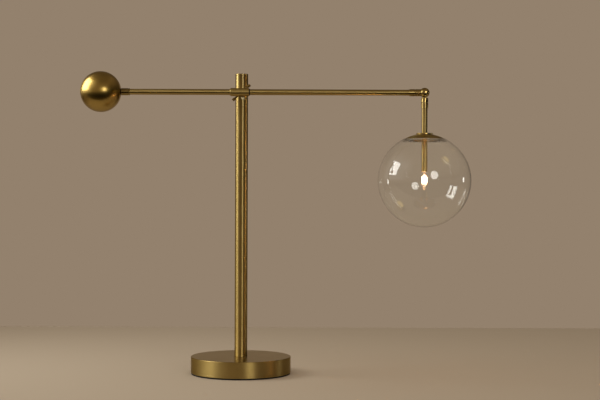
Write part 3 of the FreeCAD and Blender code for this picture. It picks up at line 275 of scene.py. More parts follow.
def add(tree, kind, settings=None, inputs=None):
    """Adds one node. Settings are its own properties. An input is a value, or the socket that feeds it."""
    made = tree.nodes.new(kind)
    for key, value in (settings or {}).items():
        setattr(made, key, value)
    for key, value in (inputs or {}).items():
        socket = made.inputs[key]
        if isinstance(value, bpy.types.NodeSocket):
            tree.links.new(value, socket)
        else:
            socket.default_value = value
    return made


def blank(name):
    """New material with no nodes, and its tree."""
    material = bpy.data.materials.new(name)
    material.use_nodes = True
    material.node_tree.nodes.clear()
    return material, material.node_tree


# A noise lies mostly between these two values, and a Map Range stretches that part.
NOISE_LOW, NOISE_HIGH = 0.25, 0.75


def lathe_marks(tree, line, pitch):
    """Fine marks that run round a line: a noise of (distance from the line, place along it). Gives the
    noise and the Object coordinates."""
    place = add(tree, "ShaderNodeTexCoord").outputs["Object"]
    offset = add(tree, "ShaderNodeVectorMath", {"operation": "SUBTRACT"}, {0: place, 1: line[0]}).outputs[0]
    along = add(tree, "ShaderNodeVectorMath", {"operation": "DOT_PRODUCT"},
                {0: offset, 1: line[1]}).outputs["Value"]
    rise = add(tree, "ShaderNodeVectorMath", {"operation": "SCALE"}, {0: line[1], "Scale": along}).outputs[0]
    flat = add(tree, "ShaderNodeVectorMath", {"operation": "SUBTRACT"}, {0: offset, 1: rise}).outputs[0]
    away = add(tree, "ShaderNodeVectorMath", {"operation": "LENGTH"}, {0: flat}).outputs["Value"]
    grid = add(tree, "ShaderNodeCombineXYZ", None, {"X": away, "Y": along}).outputs[0]
    marks = add(tree, "ShaderNodeTexNoise", {"noise_dimensions": "2D"},
                {"Vector": grid, "Scale": 1 / pitch, "Detail": 3.0, "Roughness": 0.6}).outputs["Fac"]
    return marks, place


def brass(name, line, colours, roughness, pitch, depth, stretch=0.0, lacquer=0.2):
    """Brass, turned and then linished or polished, under a thin clear lacquer.

    Gives the eye a warm metal whose highlights are a little soft, with fine marks round the line and
    slow clouds where the lacquer is thicker. colours are those of thin and of thick lacquer. pitch and
    depth are those of the marks. stretch draws the highlights out along the line.
    """
    cloud, cloud_share, mark_share = 38 * MM, 0.7, 0.3
    unevenness = 0.012                      # of the roughness, each way
    edge = linear("#CFC4A4")                # colour of the metal where it is seen at a grazing angle
    quarter_turn = 0.25
    material, tree = blank(name)
    marks, place = lathe_marks(tree, line, pitch)
    clouds = add(tree, "ShaderNodeTexNoise", None,
                 {"Vector": place, "Scale": 1 / cloud, "Detail": 2.0, "Roughness": 0.55}).outputs["Fac"]
    faint = add(tree, "ShaderNodeMath", {"operation": "MULTIPLY"}, {0: marks, 1: mark_share}).outputs[0]
    mixed = add(tree, "ShaderNodeMath", {"operation": "MULTIPLY_ADD"},
                {0: clouds, 1: cloud_share, 2: faint}).outputs[0]
    share = add(tree, "ShaderNodeMapRange", None,
                {"Value": mixed, "From Min": NOISE_LOW, "From Max": NOISE_HIGH}).outputs[0]
    tint = add(tree, "ShaderNodeMix", {"data_type": "RGBA"},
               {"Factor": share, "A": linear(colours[0]), "B": linear(colours[1])}).outputs["Result"]
    rough = add(tree, "ShaderNodeMapRange", None,
                {"Value": mixed, "From Min": NOISE_LOW, "From Max": NOISE_HIGH,
                 "To Min": roughness - unevenness, "To Max": roughness + unevenness}).outputs[0]
    bump = add(tree, "ShaderNodeBump", None, {"Strength": 0.5, "Distance": depth, "Height": marks}).outputs[0]
    inputs = {"Base Color": tint, "Metallic": 1.0, "Roughness": rough, "Normal": bump,
              "Specular Tint": edge, "Coat Weight": lacquer, "Coat Roughness": 0.22}
    if stretch:
        axis = "XYZ"[int(np.argmax(np.abs(line[1])))]
        around = add(tree, "ShaderNodeTangent", {"direction_type": "RADIAL", "axis": axis}).outputs[0]
        inputs.update({"Anisotropic": stretch, "Anisotropic Rotation": quarter_turn, "Tangent": around})
    shader = add(tree, "ShaderNodeBsdfPrincipled", None, inputs).outputs[0]
    add(tree, "ShaderNodeOutputMaterial", None, {"Surface": shader})
    return material


def dull(name, colour, shade, roughness, grain, depth, metallic=0.0):
    """Opaque material with a fine grain in its colour, roughness and surface. grain is its size."""
    unevenness = 0.06                       # of the roughness, each way
    material, tree = blank(name)
    place = add(tree, "ShaderNodeTexCoord").outputs["Object"]
    noise = add(tree, "ShaderNodeTexNoise", None,
                {"Vector": place, "Scale": 1 / grain, "Detail": 4.0, "Roughness": 0.6}).outputs["Fac"]
    share = add(tree, "ShaderNodeMapRange", None,
                {"Value": noise, "From Min": NOISE_LOW, "From Max": NOISE_HIGH}).outputs[0]
    tint = add(tree, "ShaderNodeMix", {"data_type": "RGBA"},
               {"Factor": share, "A": linear(colour), "B": linear(shade)}).outputs["Result"]
    rough = add(tree, "ShaderNodeMapRange", None,
                {"Value": noise, "From Min": NOISE_LOW, "From Max": NOISE_HIGH,
                 "To Min": roughness - unevenness, "To Max": roughness + unevenness}).outputs[0]
    bump = add(tree, "ShaderNodeBump", None, {"Strength": 0.6, "Distance": depth, "Height": noise}).outputs[0]
    shader = add(tree, "ShaderNodeBsdfPrincipled", None,
                 {"Base Color": tint, "Metallic": metallic, "Roughness": rough, "Normal": bump}).outputs[0]
    add(tree, "ShaderNodeOutputMaterial", None, {"Surface": shader})
    return material


def clear(name, colour, wave, depth, glow=None, strength=0.0):
    """Clear material, polished, with slow waves left by the blowing or the mould.

    Lamps shine through it, so the light inside reaches the table. glow is the colour of the middle of
    a lit capsule. It falls off with the distance from the filament, and towards the capsule's sides.
    """
    hot, cold, side = 5 * MM, 11 * MM, 0.85
    ember, passed_on = linear("#FF9440"), (0.96, 0.96, 0.96, 1.0)
    material, tree = blank(name)
    place = add(tree, "ShaderNodeTexCoord").outputs["Object"]
    noise = add(tree, "ShaderNodeTexNoise", None,
                {"Vector": place, "Scale": 1 / wave, "Detail": 1.0, "Roughness": 0.4}).outputs["Fac"]
    bump = add(tree, "ShaderNodeBump", None, {"Strength": 0.3, "Distance": depth, "Height": noise}).outputs[0]
    inputs = {"Base Color": linear(colour), "Roughness": 0.0, "IOR": 1.5, "Transmission Weight": 1.0,
              "Normal": bump}
    if glow:
        away = add(tree, "ShaderNodeVectorMath", {"operation": "DISTANCE"},
                   {0: place, 1: np.mean(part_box("bulb_filament"), axis=0).tolist()}).outputs["Value"]
        facing = add(tree, "ShaderNodeLayerWeight", None, {"Blend": 0.5}).outputs["Facing"]
        near = add(tree, "ShaderNodeMapRange", {"interpolation_type": "SMOOTHSTEP"},
                   {"Value": away, "From Min": cold, "From Max": hot}).outputs[0]
        middle = add(tree, "ShaderNodeMapRange", {"interpolation_type": "SMOOTHSTEP"},
                     {"Value": facing, "From Min": side, "From Max": 0.0}).outputs[0]
        share = add(tree, "ShaderNodeMath", {"operation": "MULTIPLY"}, {0: near, 1: middle}).outputs[0]
        heat = add(tree, "ShaderNodeMix", {"data_type": "RGBA"},
                   {"Factor": share, "A": ember, "B": linear(glow)}).outputs["Result"]
        power = add(tree, "ShaderNodeMath", {"operation": "MULTIPLY"}, {0: share, 1: strength}).outputs[0]
        inputs.update({"Emission Color": heat, "Emission Strength": power})
    shader = add(tree, "ShaderNodeBsdfPrincipled", None, inputs).outputs[0]
    unbent = add(tree, "ShaderNodeBsdfTransparent", None, {"Color": passed_on}).outputs[0]
    path = add(tree, "ShaderNodeLightPath").outputs
    passing = add(tree, "ShaderNodeMath", {"operation": "MAXIMUM"},
                  {0: path["Is Shadow Ray"], 1: path["Is Diffuse Ray"]}).outputs[0]
    mixed = add(tree, "ShaderNodeMixShader", None, {0: passing, 1: shader, 2: unbent}).outputs[0]
    add(tree, "ShaderNodeOutputMaterial", None, {"Surface": mixed})
    return material


def glowing(name, colour, strength):
    """Tungsten at white heat: it only gives light."""
    material, tree = blank(name)
    shader = add(tree, "ShaderNodeBsdfPrincipled", None,
                 {"Base Color": linear(colour), "Roughness": 0.5,
                  "Emission Color": linear(colour), "Emission Strength": strength}).outputs[0]
    add(tree, "ShaderNodeOutputMaterial", None, {"Surface": shader})
    return material


# ================================================================ finishes
# The marks of the lathe and the belt are about 0.05 mm apart on the real metal, too fine to show, so
# they are drawn this far apart. The grain of cast, plated and moulded surfaces is drawn coarser too.
BELT, TOOL = 1.2 * MM, 0.8 * MM
CLEAN = "#B69F63", "#A28B51"            # brass under thin and under thick lacquer
GOLDEN = "#B2954A", "#9C8139"           # a little yellower
PAINTED_SHADE_BRASS = "#8A7342", "#6E5A30"            # much darker brass: painted shade
DARKER_BRASS = "#8F7A48", "#7C6838"         # a darker brass, a little lighter than the one above
PALE = "#B9AD84", "#AA9C70"             # paler

# long tubes, linished: soft bright lines that run their whole length
turned_column = brass("brass_linished_column", COLUMN, CLEAN,
                      roughness=0.38, pitch=BELT, depth=0.3 * MICRON, stretch=0.97)
turned_arm = brass("brass_linished_arm", ARM, CLEAN,
                   roughness=0.34, pitch=BELT, depth=0.3 * MICRON, stretch=0.92)
turned_drop = brass("brass_linished_drop", DROP, CLEAN,
                    roughness=0.30, pitch=BELT, depth=0.3 * MICRON, stretch=0.97)
# the base's side, brushed round: broad upright glints
turned_base = brass("brass_brushed_base", COLUMN, CLEAN,
                    roughness=0.45, pitch=BELT, depth=1.0 * MICRON, stretch=0.94)
# its flat top, satin under more lacquer: an even sheen
turned_top = brass("brass_satin_base_top", COLUMN, CLEAN,
                   roughness=0.30, pitch=BELT, depth=1.0 * MICRON, lacquer=0.6)
# the ball, spun and satin: one long highlight with soft ends
turned_ball = brass("brass_satin_ball", ARM, GOLDEN,
                    roughness=0.29, pitch=BELT, depth=0.6 * MICRON, stretch=0.4, lacquer=0.7)
# sleeve and top cap, satin: wide pale highlights
turned_sleeve = brass("brass_satin_sleeve", ARM, CLEAN,
                      roughness=0.42, pitch=BELT, depth=0.8 * MICRON, stretch=0.5)
turned_cap = brass("brass_satin_cap", COLUMN, CLEAN,
                   roughness=0.40, pitch=BELT, depth=0.8 * MICRON, stretch=0.8)
# knuckle, collars and the globe's cap, finely turned: narrow clear highlights
bright_knuckle = brass("brass_bright_knuckle", DROP, CLEAN,
                       roughness=0.22, pitch=TOOL, depth=0.3 * MICRON)
bright_collar = brass("brass_bright_collar", ARM, CLEAN,
                      roughness=0.28, pitch=TOOL, depth=0.3 * MICRON, stretch=0.85)
bright_neck = brass("brass_bright_neck", DROP, CLEAN,
                    roughness=0.28, pitch=TOOL, depth=0.3 * MICRON, stretch=0.92)
spun_cap = brass("brass_spun_cap", DROP, CLEAN,
                 roughness=0.30, pitch=TOOL, depth=0.3 * MICRON, stretch=0.9)
# the ball's collar, in a much darker brass; the lock nut with its pins, darker still as painted shade
dark_collar = brass("brass_darker_collar", ARM, DARKER_BRASS,
                    roughness=0.26, pitch=TOOL, depth=0.3 * MICRON, stretch=0.85)
dark_pin = brass("brass_painted_shade_pins", COLUMN, PAINTED_SHADE_BRASS, roughness=0.34, pitch=TOOL, depth=0.4 * MICRON)
# the head's screw: a paler, duller brass
pale_screw = brass("brass_bright_screw", COLUMN, PALE, roughness=0.42, pitch=TOOL, depth=0.4 * MICRON)
# thin disc above the cap, polished: it mirrors what is near
polished_drop = brass("brass_polished_drop", DROP, CLEAN,
                      roughness=0.17, pitch=TOOL, depth=0.6 * MICRON)
# the sleeve's bushes, polished and worn: a soft gleam
polished_arm = brass("brass_polished_arm", ARM, CLEAN, roughness=0.34, pitch=TOOL, depth=0.6 * MICRON)
# grey iron as cast, with a coarse sandy skin
iron = dull("iron_as_cast", "#3A3B3E", "#2C2C2E",
            roughness=0.75, grain=1.5 * MM, depth=0.08 * MM, metallic=0.6)
# mild steel with a bright zinc coat: pale, a little mottled
zinc = dull("steel_zinc_plated", "#B4B7BC", "#9DA1A8",
            roughness=0.32, grain=2.0 * MM, depth=0.01 * MM, metallic=1.0)
# moulded rubber: near black, fine matt skin
rubber = dull("rubber_moulded", "#101012", "#0A0A0B", roughness=0.80, grain=0.6 * MM, depth=0.03 * MM)
# moulded nylon, natural white
nylon = dull("nylon_moulded", "#DBD8CE", "#CFCBC0", roughness=0.5, grain=1.2 * MM, depth=0.01 * MM)
# extruded PVC sheath, off-white, a little glossy
sheath = dull("pvc_extruded", "#D0CDC4", "#C4C1B8", roughness=0.4, grain=1.5 * MM, depth=0.01 * MM)
# unglazed steatite: chalky white
steatite = dull("steatite_fired", "#E6E3DA", "#D6D2C8", roughness=0.7, grain=0.8 * MM, depth=0.02 * MM)
# water-clear silicone: hardly seen between brass and glass
silicone = clear("silicone_moulded", "#EFEDE6", wave=3 * MM, depth=0.01 * MM)
# soda glass, blown: clear, with crisp reflections that bend a little
globe_clear = clear("soda_glass_blown", "#FEFFFE", wave=60 * MM, depth=0.02 * MM)
# quartz capsule with the lamp lit: a white middle that turns orange outwards
capsule_clear = clear("quartz_capsule", "#FFFDF8",
                      wave=6 * MM, depth=0.01 * MM, glow="#FFF0D6", strength=4.0)
# white-hot wire
tungsten = glowing("tungsten_lit", "#FFE9C8", strength=90.0)
capsule_clear.cycles.emission_sampling = tungsten.cycles.emission_sampling = "NONE"


# ================================================================ base and column
def base_cover():
    """Spun cup: the outline of its wall turned about the column's axis. It has a flat top, a small
    rounded rim and a fine V-shaped line just above the lower edge. Its flat faces get a finish of
    their own."""
    radius, bottom, top = extent("base_cover", COLUMN)
    wall, hem, line, hole, flat = 1.2 * MM, 3.5 * MM, 0.35 * MM, 5.05 * MM, 0.9
    foot, rim, fold, lip, root = 0.5 * MM, 1.2 * MM, 0.2 * MM, 0.1 * MM, 0.08 * MM      # roundings
    made = turned("base_cover", "base", "brushed_brass", turned_base, COLUMN, outline(
        (radius - wall, bottom), (radius, bottom, foot), (radius, bottom + hem - line, lip),
        (radius - line, bottom + hem, root), (radius, bottom + hem + line, lip), (radius, top, rim),
        (hole, top), (hole, top - wall), (radius - wall, top - wall, fold)), WIDEST_ROUND)
    mesh = made.data
    mesh.materials.append(turned_top)
    up = np.empty(len(mesh.polygons) * 3)
    mesh.polygons.foreach_get("normal", up)
    mesh.polygons.foreach_set("material_index", (np.abs(up[2::3]) > flat).astype(np.int32))


def base_pad():
    """Rubber disc under the cover: a rectangle with both outer corners rounded, turned."""
    radius, bottom, top = extent("base_pad", COLUMN)
    below, above = 0.25 * MM, 0.2 * MM
    turned("base_pad", "base", "black_rubber", rubber, COLUMN, outline(
        (0, bottom), (radius, bottom, below), (radius, top, above), (0, top)), WIDEST_ROUND)


def stepped(radius, bore, start, end, foot):
    """Profile of a pipe whose upper end is turned down by a fine step, which stays dark."""
    step, crisp = 0.6 * MM, 0.08 * MM
    return outline(
        (bore, start), (radius, start, foot), (radius, end - step, crisp), (radius - step, end - step),
        (radius - step, end), (bore, end))


def column():
    """Column tube up to the swivel ring: a stepped pipe's profile turned."""
    radius, bottom, top = extent("column_tube", COLUMN)
    wall, foot = 1.5 * MM, 0.15 * MM
    turned("column_tube", "base", "brushed_brass", turned_column, COLUMN,
           stepped(radius, radius - wall, bottom, top, foot))


def top_cap():
    """Cap over a fine seam: a disc with a bevelled rim, a narrower neck and a plug in the head, turned."""
    radius, bottom, top = extent("top_cap", COLUMN)
    tube_top = extent("head_tube", COLUMN)[2]
    plug, neck, seam, bevel = radius - 1.95 * MM, radius - 0.8 * MM, tube_top + 0.5 * MM, 0.5 * MM
    tip, crisp, soft = 0.2 * MM, 0.08 * MM, 0.12 * MM
    turned("top_cap", "head", "satin_brass", turned_cap, COLUMN, outline(
        (0, bottom), (plug, bottom, tip), (plug, tube_top), (neck, tube_top), (neck, seam),
        (radius, seam, crisp), (radius, top - bevel, soft), (radius - bevel, top, soft), (0, top)))


# ================================================================ arm
def cross_sleeve():
    """Thick sleeve: a pipe with rounded rims and a wider bore at each end for its bush, turned."""
    radius, left, right = extent("cross_sleeve", ARM)
    bush, depth, rim = 6.0 * MM, 4.0 * MM, 0.45 * MM
    turned("cross_sleeve", "arm", "satin_brass", turned_sleeve, ARM, outline(
        (bush, left), (radius, left, rim), (radius, right, rim), (bush, right), (bush, right - depth),
        (TUBE_HOLE, right - depth), (TUBE_HOLE, left + depth), (bush, left + depth)))


def sleeve_bushes():
    """Bush in each end of the sleeve: a pipe inside, and outside it a lip whose rim slopes in. The lip
    is bright on the left; on the right it is black, painted shade for the shadow gap at the sleeve's end."""
    lip, tip, slope, length = 6.0 * MM, 5.4 * MM, 0.2 * MM, 3.95 * MM
    for node, side in (("sleeve_bush_left", -1), ("sleeve_bush_right", 1)):
        radius, left, right = extent(node, ARM)
        inner, outer = (left, right)[::side]
        shoulder = inner + side * length
        corners = ((TUBE_HOLE, inner), (radius, inner), (radius, shoulder), (lip, shoulder),
                   (lip, shoulder + side * slope), (tip, outer), (TUBE_HOLE, outer))
        made = turned(node, "arm", "polished_brass", polished_arm, ARM, outline(*corners[::side]))
        # the right lip gets black rubber: painted shade for the shadow gap at the sleeve's right end
        if side > 0:
            mesh = made.data
            mesh.materials.append(rubber)
            middle = np.empty(len(mesh.polygons) * 3)
            mesh.polygons.foreach_get("center", middle)
            mesh.polygons.foreach_set("material_index", (middle[::3] > shoulder).astype(np.int32))


def tubes():
    """Thin drawn tubes of the arm, the drop and the globe's stem: a pipe's profile turned."""
    wall, rim = 1.0 * MM, 0.1 * MM
    for node, body, line, finish in (
            ("arm_tube_left", "arm", ARM, turned_arm), ("arm_tube_right", "arm", ARM, turned_arm),
            ("drop_rod", "drop", DROP, turned_drop), ("stem_tube", "drop", DROP, turned_drop)):
        radius, start, end = extent(node, line)
        turned(node, body, "satin_brass", finish, line, pipe(radius, radius - wall, start, end, rim))


def collars():
    """Collars on the tubes' ends: a stepped pipe's profile turned, its step at the knuckle's end."""
    foot = 0.4 * MM
    for node, body, line, finish in (
            ("elbow_collar", "arm", ARM, bright_collar), ("drop_collar", "drop", DROP, bright_neck)):
        radius, start, end = extent(node, line)
        turned(node, body, "satin_brass", finish, line, stepped(radius, TUBE_HOLE, start, end, foot))


def ball_collar():
    """Collar before the ball: a cup whose bottom the stud passes, with a groove cut round it near its
    arm end."""
    radius, far, near = extent("ball_collar", ARM)
    ring, groove, web = 1.2 * MM, 0.5 * MM, 4.2 * MM
    rim, crisp = 0.35 * MM, 0.08 * MM
    turned("ball_collar", "arm", "satin_brass", dark_collar, ARM, outline(
        (STUD_HOLE, far), (radius, far, rim), (radius, near - 2 * ring, crisp),
        (radius - groove, near - 2 * ring), (radius - groove, near - ring),
        (radius, near - ring, crisp), (radius, near, rim),
        (TUBE_HOLE, near), (TUBE_HOLE, far + web), (STUD_HOLE, far + web)))


def ball_washer():
    """Dark fibre washer between the collar and the ball: a short pipe's profile turned."""
    radius, start, end = extent("ball_washer", ARM)
    rim = 0.1 * MM
    turned("ball_washer", "arm", "black_rubber", rubber, ARM, pipe(radius, STUD_HOLE, start, end, rim))


def ball():
    """Two spun half shells that meet flush: arcs about one centre, turned about the arm. The inner one
    has a flat at the collar, and the outer one has a lip that slips into it."""
    radius = extent("ball_half_outer", ARM)[0]
    _, seam, flat_at = extent("ball_half_inner", ARM)
    wall, steps = 1.5 * MM, 48
    inner, centre = radius - wall, (0, seam)
    flat = math.sqrt(radius ** 2 - (flat_at - seam) ** 2)
    turned("ball_half_inner", "arm", "satin_brass", turned_ball, ARM, joined(
        arc(centre, radius, 0, arc_angle(flat, radius), steps),
        (STUD_HOLE, flat_at),
        arc(centre, inner, arc_angle(STUD_HOLE, inner), 0, steps)), WIDE_ROUND)
    slack, lip_wall, lip_length = 0.2 * MM, 1.1 * MM, 3.0 * MM
    lip, lip_end = inner - slack, seam + lip_length
    lip_inside = lip - lip_wall
    turned("ball_half_outer", "arm", "satin_brass", turned_ball, ARM, joined(
        arc(centre, radius, -90, 0, steps),
        (lip, seam), (lip, lip_end), (lip_inside, lip_end),
        arc(centre, inner, -arc_angle(lip_inside, inner), -90, steps)), WIDE_ROUND)


# ================================================================ cap, globe and lamp
def cap_disc():
    """Thin polished disc between the rod and the cap: a rectangle with both rims rounded, turned."""
    radius, bottom, top = extent("cap_disc", DROP)
    below, above = 0.2 * MM, 0.3 * MM
    turned("cap_disc", "drop", "polished_brass", polished_drop, DROP, outline(
        (NIPPLE_HOLE, bottom), (radius, bottom, below), (radius, top, above), (NIPPLE_HOLE, top)))


def globe_cap():
    """Spun dome: two arcs a sheet apart, turned about the drop. It has a flat for the disc, and a small
    bend leads to a short rim that is turned down on the gasket."""
    radius, bottom, top = extent("globe_cap", DROP)
    sheet, rim, dome, flat, bend = 1.0 * MM, 1.6 * MM, 73.0 * MM, 14.0 * MM, 1.4 * MM
    dome_steps, bend_steps = 24, 8
    centre = bottom + rim - math.sqrt(dome ** 2 - radius ** 2)
    inner, rim_inside = dome - sheet, radius - sheet
    flat_inside = math.sqrt(inner ** 2 - (top - sheet - centre) ** 2)
    bend_at = centre + math.sqrt((dome - bend) ** 2 - (radius - bend) ** 2)
    bend_end = arc_angle(radius - bend, dome - bend)
    turned("globe_cap", "drop", "polished_brass", spun_cap, DROP, joined(
        (rim_inside, bottom), (radius, bottom),
        arc((radius - bend, bend_at), bend, 0, bend_end, bend_steps),
        arc((0, centre), dome, bend_end, arc_angle(flat, dome), dome_steps),
        (NIPPLE_HOLE, top), (NIPPLE_HOLE, top - sheet),
        arc((0, centre), inner, arc_angle(flat_inside, inner), arc_angle(rim_inside, inner), dome_steps)),
        WIDE_ROUND)


def cap_gasket():
    """Soft flat ring under the cap's rim: a short pipe's profile turned."""
    radius, bottom, top = extent("cap_gasket", DROP)
    bore, rim = 28.0 * MM, 0.25 * MM
    turned("cap_gasket", "drop", "clear_silicone", silicone, DROP,
           pipe(radius, bore, bottom, top, rim), WIDE_ROUND)


def globe_glass():
    """Blown globe: two arcs a wall apart, turned about the drop. Smooth bends lead from its shoulder
    down to a sunk seat, which ends in a round lip at the mouth."""
    radius, bottom, top = extent("globe_glass", DROP)
    wall, thin, mouth, step, shoulder = 2.0 * MM, 1.4 * MM, 27.5 * MM, 35.525 * MM, 36.5 * MM
    sunk, bend, dip, lean = 3.2 * MM, 1.4 * MM, 0.05 * MM, 40
    round_steps, bend_steps, lip_steps = 96, 6, 8
    middle, inner, lip = bottom + radius, radius - wall, thin / 2
    seat = middle + math.sqrt(radius ** 2 - shoulder ** 2) - sunk
    brow = middle + math.sqrt(radius ** 2 - (step + bend) ** 2) - dip
    turned("globe_glass", "drop", "clear_glass", globe_clear, DROP, joined(
        arc((0, middle), radius, -90, arc_angle(step + bend, radius), round_steps),
        arc((step + bend, brow - bend), bend, 90, 180, bend_steps),
        arc((step - bend, seat + bend), bend, 0, -90, bend_steps),
        arc((mouth + lip, seat - lip), lip, 90, 270, lip_steps),
        arc((step - bend, seat - thin - 2 * bend), 2 * bend, 90, lean, bend_steps),
        arc((0, middle), inner, arc_angle(shoulder + wall, inner), -90, round_steps)), WIDEST_ROUND)


def capsule():
    """Quartz capsule: a round tip, a straight side, a rounded shoulder and a narrow neck for the pinched
    end, turned about the drop, with a hollow of the same form inside."""
    radius, tip, top = extent("bulb_glass", DROP)
    wall, neck, neck_length, crown = 0.8 * MM, 1.7 * MM, 6.1 * MM, 2.1 * MM
    bend, inner_bend = 2.4 * MM, 1.6 * MM
    tip_steps, bend_steps, inner_steps, count = 16, 8, 6, 64
    inner, middle = radius - wall, tip + radius
    roof = top - neck_length
    ceiling = roof - crown
    turned("bulb_glass", "drop", "lamp_glass", capsule_clear, DROP, joined(
        arc((0, middle), radius, -90, 0, tip_steps),
        arc((radius - bend, roof - bend), bend, 0, 90, bend_steps),
        (neck, roof), (neck, top), (0, top), (0, ceiling),
        arc((inner - inner_bend, ceiling - inner_bend), inner_bend, 90, 0, inner_steps),
        arc((0, middle), inner, 0, -90, tip_steps)), count)


def filament():
    """Coiled tungsten wire between two upright legs. Its middle line is a helix about the line from leg
    to leg, (start + t * (end - start), coil * cos a, coil * sin a) for t from 0 to 1 and a = turns
    full circles * t, and each ring is wire * (cos b * out + sin b * side) round a point of it, with
    out and side square to the line there."""
    low, high = (np.array(corner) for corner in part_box("bulb_filament"))
    turns, turn_steps, sides = 9, 24, 10
    wire, coil, leg = 0.16 * MM, 0.55 * MM, 0.224 * MM
    steps = turn_steps * turns
    t = np.linspace(0, 1, steps + 1)
    a = 2 * np.pi * turns * t
    middle = low[2] + coil
    start, end = low[0] + wire, high[0] - wire
    path = np.stack([start + (end - start) * t, knuckle[1] + coil * np.cos(a), middle + coil * np.sin(a)], 1)
    run = np.gradient(path, axis=0)
    run /= np.linalg.norm(run, axis=1)[:, None]
    side = np.cross(run, np.stack([0 * t, np.cos(a), np.sin(a)], 1))
    side /= np.linalg.norm(side, axis=1)[:, None]
    out = np.cross(side, run)
    b = 2 * np.pi * np.arange(sides) / sides
    ring = np.cos(b)[None, :, None] * out[:, None] + np.sin(b)[None, :, None] * side[:, None]
    points = (path[:, None] + wire * ring).reshape(-1, 3)
    i, j = np.meshgrid(np.arange(steps), np.arange(sides), indexing="ij")
    k = (j + 1) % sides
    quads = np.stack([i * sides + j, i * sides + k, (i + 1) * sides + k, (i + 1) * sides + j], -1)
    faces = [*quads.reshape(-1, 4), np.arange(sides), np.arange(steps * sides, (steps + 1) * sides)[::-1]]
    for x in (start, end):
        upright = outline((0, middle), (leg, middle), (leg, high[2]), (0, high[2]))
        places, leg_faces, _ = revolved(((x, knuckle[1], 0.0), (0.0, 0.0, 1.0)), upright, sides)
        faces += [face + len(points) for face in leg_faces]
        points = np.vstack([points, places])
    made = piece("bulb_filament", points, faces, None, "drop", "filament", tungsten)
    made.data.set_sharp_from_angle(angle=CREASE)


base_cover()
base_pad()
column()
top_cap()
cross_sleeve()
sleeve_bushes()
tubes()
collars()
ball_collar()
ball_washer()
ball()
cap_disc()
globe_cap()
cap_gasket()
globe_glass()
capsule()
filament()

dressed("head_tube", turned_column, COLUMN)
for shaped, coat in (
        ("column_top_bush", turned_column), ("head_screw", pale_screw),
        ("outer_saddle", turned_column), ("lock_nut", dark_pin), ("lock_pins", dark_pin),
        ("pivot_stud", turned_column), ("knuckle_fork", bright_knuckle), ("knuckle_screw", bright_knuckle),
        ("knuckle_nut", bright_knuckle), ("knuckle_tongue", bright_knuckle), ("knuckle_washers", nylon),
        ("hub_nut", zinc), ("clip_spring", zinc), ("cap_nipple", zinc), ("cord_inlet_bush", rubber),
        ("lamp_holder", steatite), ("bulb_pins", zinc)):
    dressed(shaped, coat)

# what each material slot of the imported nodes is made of, for the inner pieces that keep their own mesh
FINISH_OF_SLOT = {
    "cast_iron": iron, "zinc_steel": zinc, "black_rubber": rubber, "white_nylon": nylon,
    "cable_sheath": sheath, "ceramic": steatite, "filament": tungsten,
    "satin_brass": turned_column, "brushed_brass": turned_column, "polished_brass": polished_drop,
    "clear_silicone": silicone, "clear_glass": globe_clear, "lamp_glass": capsule_clear}
for name, part in frame["nodes"].items():
    for place in part.material_slots:
        place.material = FINISH_OF_SLOT[slot_of(name)]


# ================================================================ table and surroundings
TABLE = "#A99D8C"
BACKDROP = "#93816D"
CEILING = "#9C8A74"
FELT = "#120D06"
LIT = "#FFF8EC"


def matt_paint():
    """Matt paint of the table top: one pale colour with no shine at all."""
    material, tree = blank("table_paint")
    shader = add(tree, "ShaderNodeBsdfPrincipled", None,
                 {"Base Color": linear(TABLE), "Roughness": 0.6, "Specular IOR Level": 0.0}).outputs[0]
    add(tree, "ShaderNodeOutputMaterial", None, {"Surface": shader})
    return material


def table():
    """Table top: a profile of (y, z) carried along x from -half to half. It is flat, and both its long
    edges turn down by a quarter circle into a short apron."""
    behind, before, half, apron, edge, steps = 0.79, -3.0, 3.0, -0.04, 6 * MM, 8
    a = np.radians(np.linspace(0, 90, steps + 1))
    y = np.concatenate([[before], before + edge * (1 - np.cos(a)), behind - edge * (1 - np.sin(a)), [behind]])
    z = np.concatenate([[apron], edge * (np.sin(a) - 1), edge * (np.cos(a) - 1), [apron]])
    points = np.concatenate([np.stack([np.full_like(y, x), y, z], 1) for x in (-half, half)])
    i, count = np.arange(len(y) - 1), len(y)
    mesh = bpy.data.meshes.new("table_top")
    mesh.from_pydata(points, [], np.stack([i, i + count, i + count + 1, i + 1], 1))
    mesh.polygons.foreach_set("use_smooth", np.ones(len(i), bool))
    mesh.materials.append(matt_paint())
    shown("table_top", mesh)


def backdrop():
    """Plain surroundings: one colour near the horizon, paler overhead as under a white ceiling."""
    rising, overhead = 0.35, 1.0            # it pales between these heights on a unit sphere
    world = bpy.data.worlds.new("surroundings")
    bpy.context.scene.world = world
    world.use_nodes = True
    tree = world.node_tree
    place = add(tree, "ShaderNodeTexCoord").outputs["Generated"]
    height = add(tree, "ShaderNodeSeparateXYZ", None, {0: place}).outputs["Z"]
    share = add(tree, "ShaderNodeMapRange", {"interpolation_type": "SMOOTHSTEP"},
                {"Value": height, "From Min": rising, "From Max": overhead}).outputs[0]
    colour = add(tree, "ShaderNodeMix", {"data_type": "RGBA"},
                 {"Factor": share, "A": linear(BACKDROP), "B": linear(CEILING)}).outputs["Result"]
    tree.links.new(colour, tree.nodes["Background"].inputs["Color"])


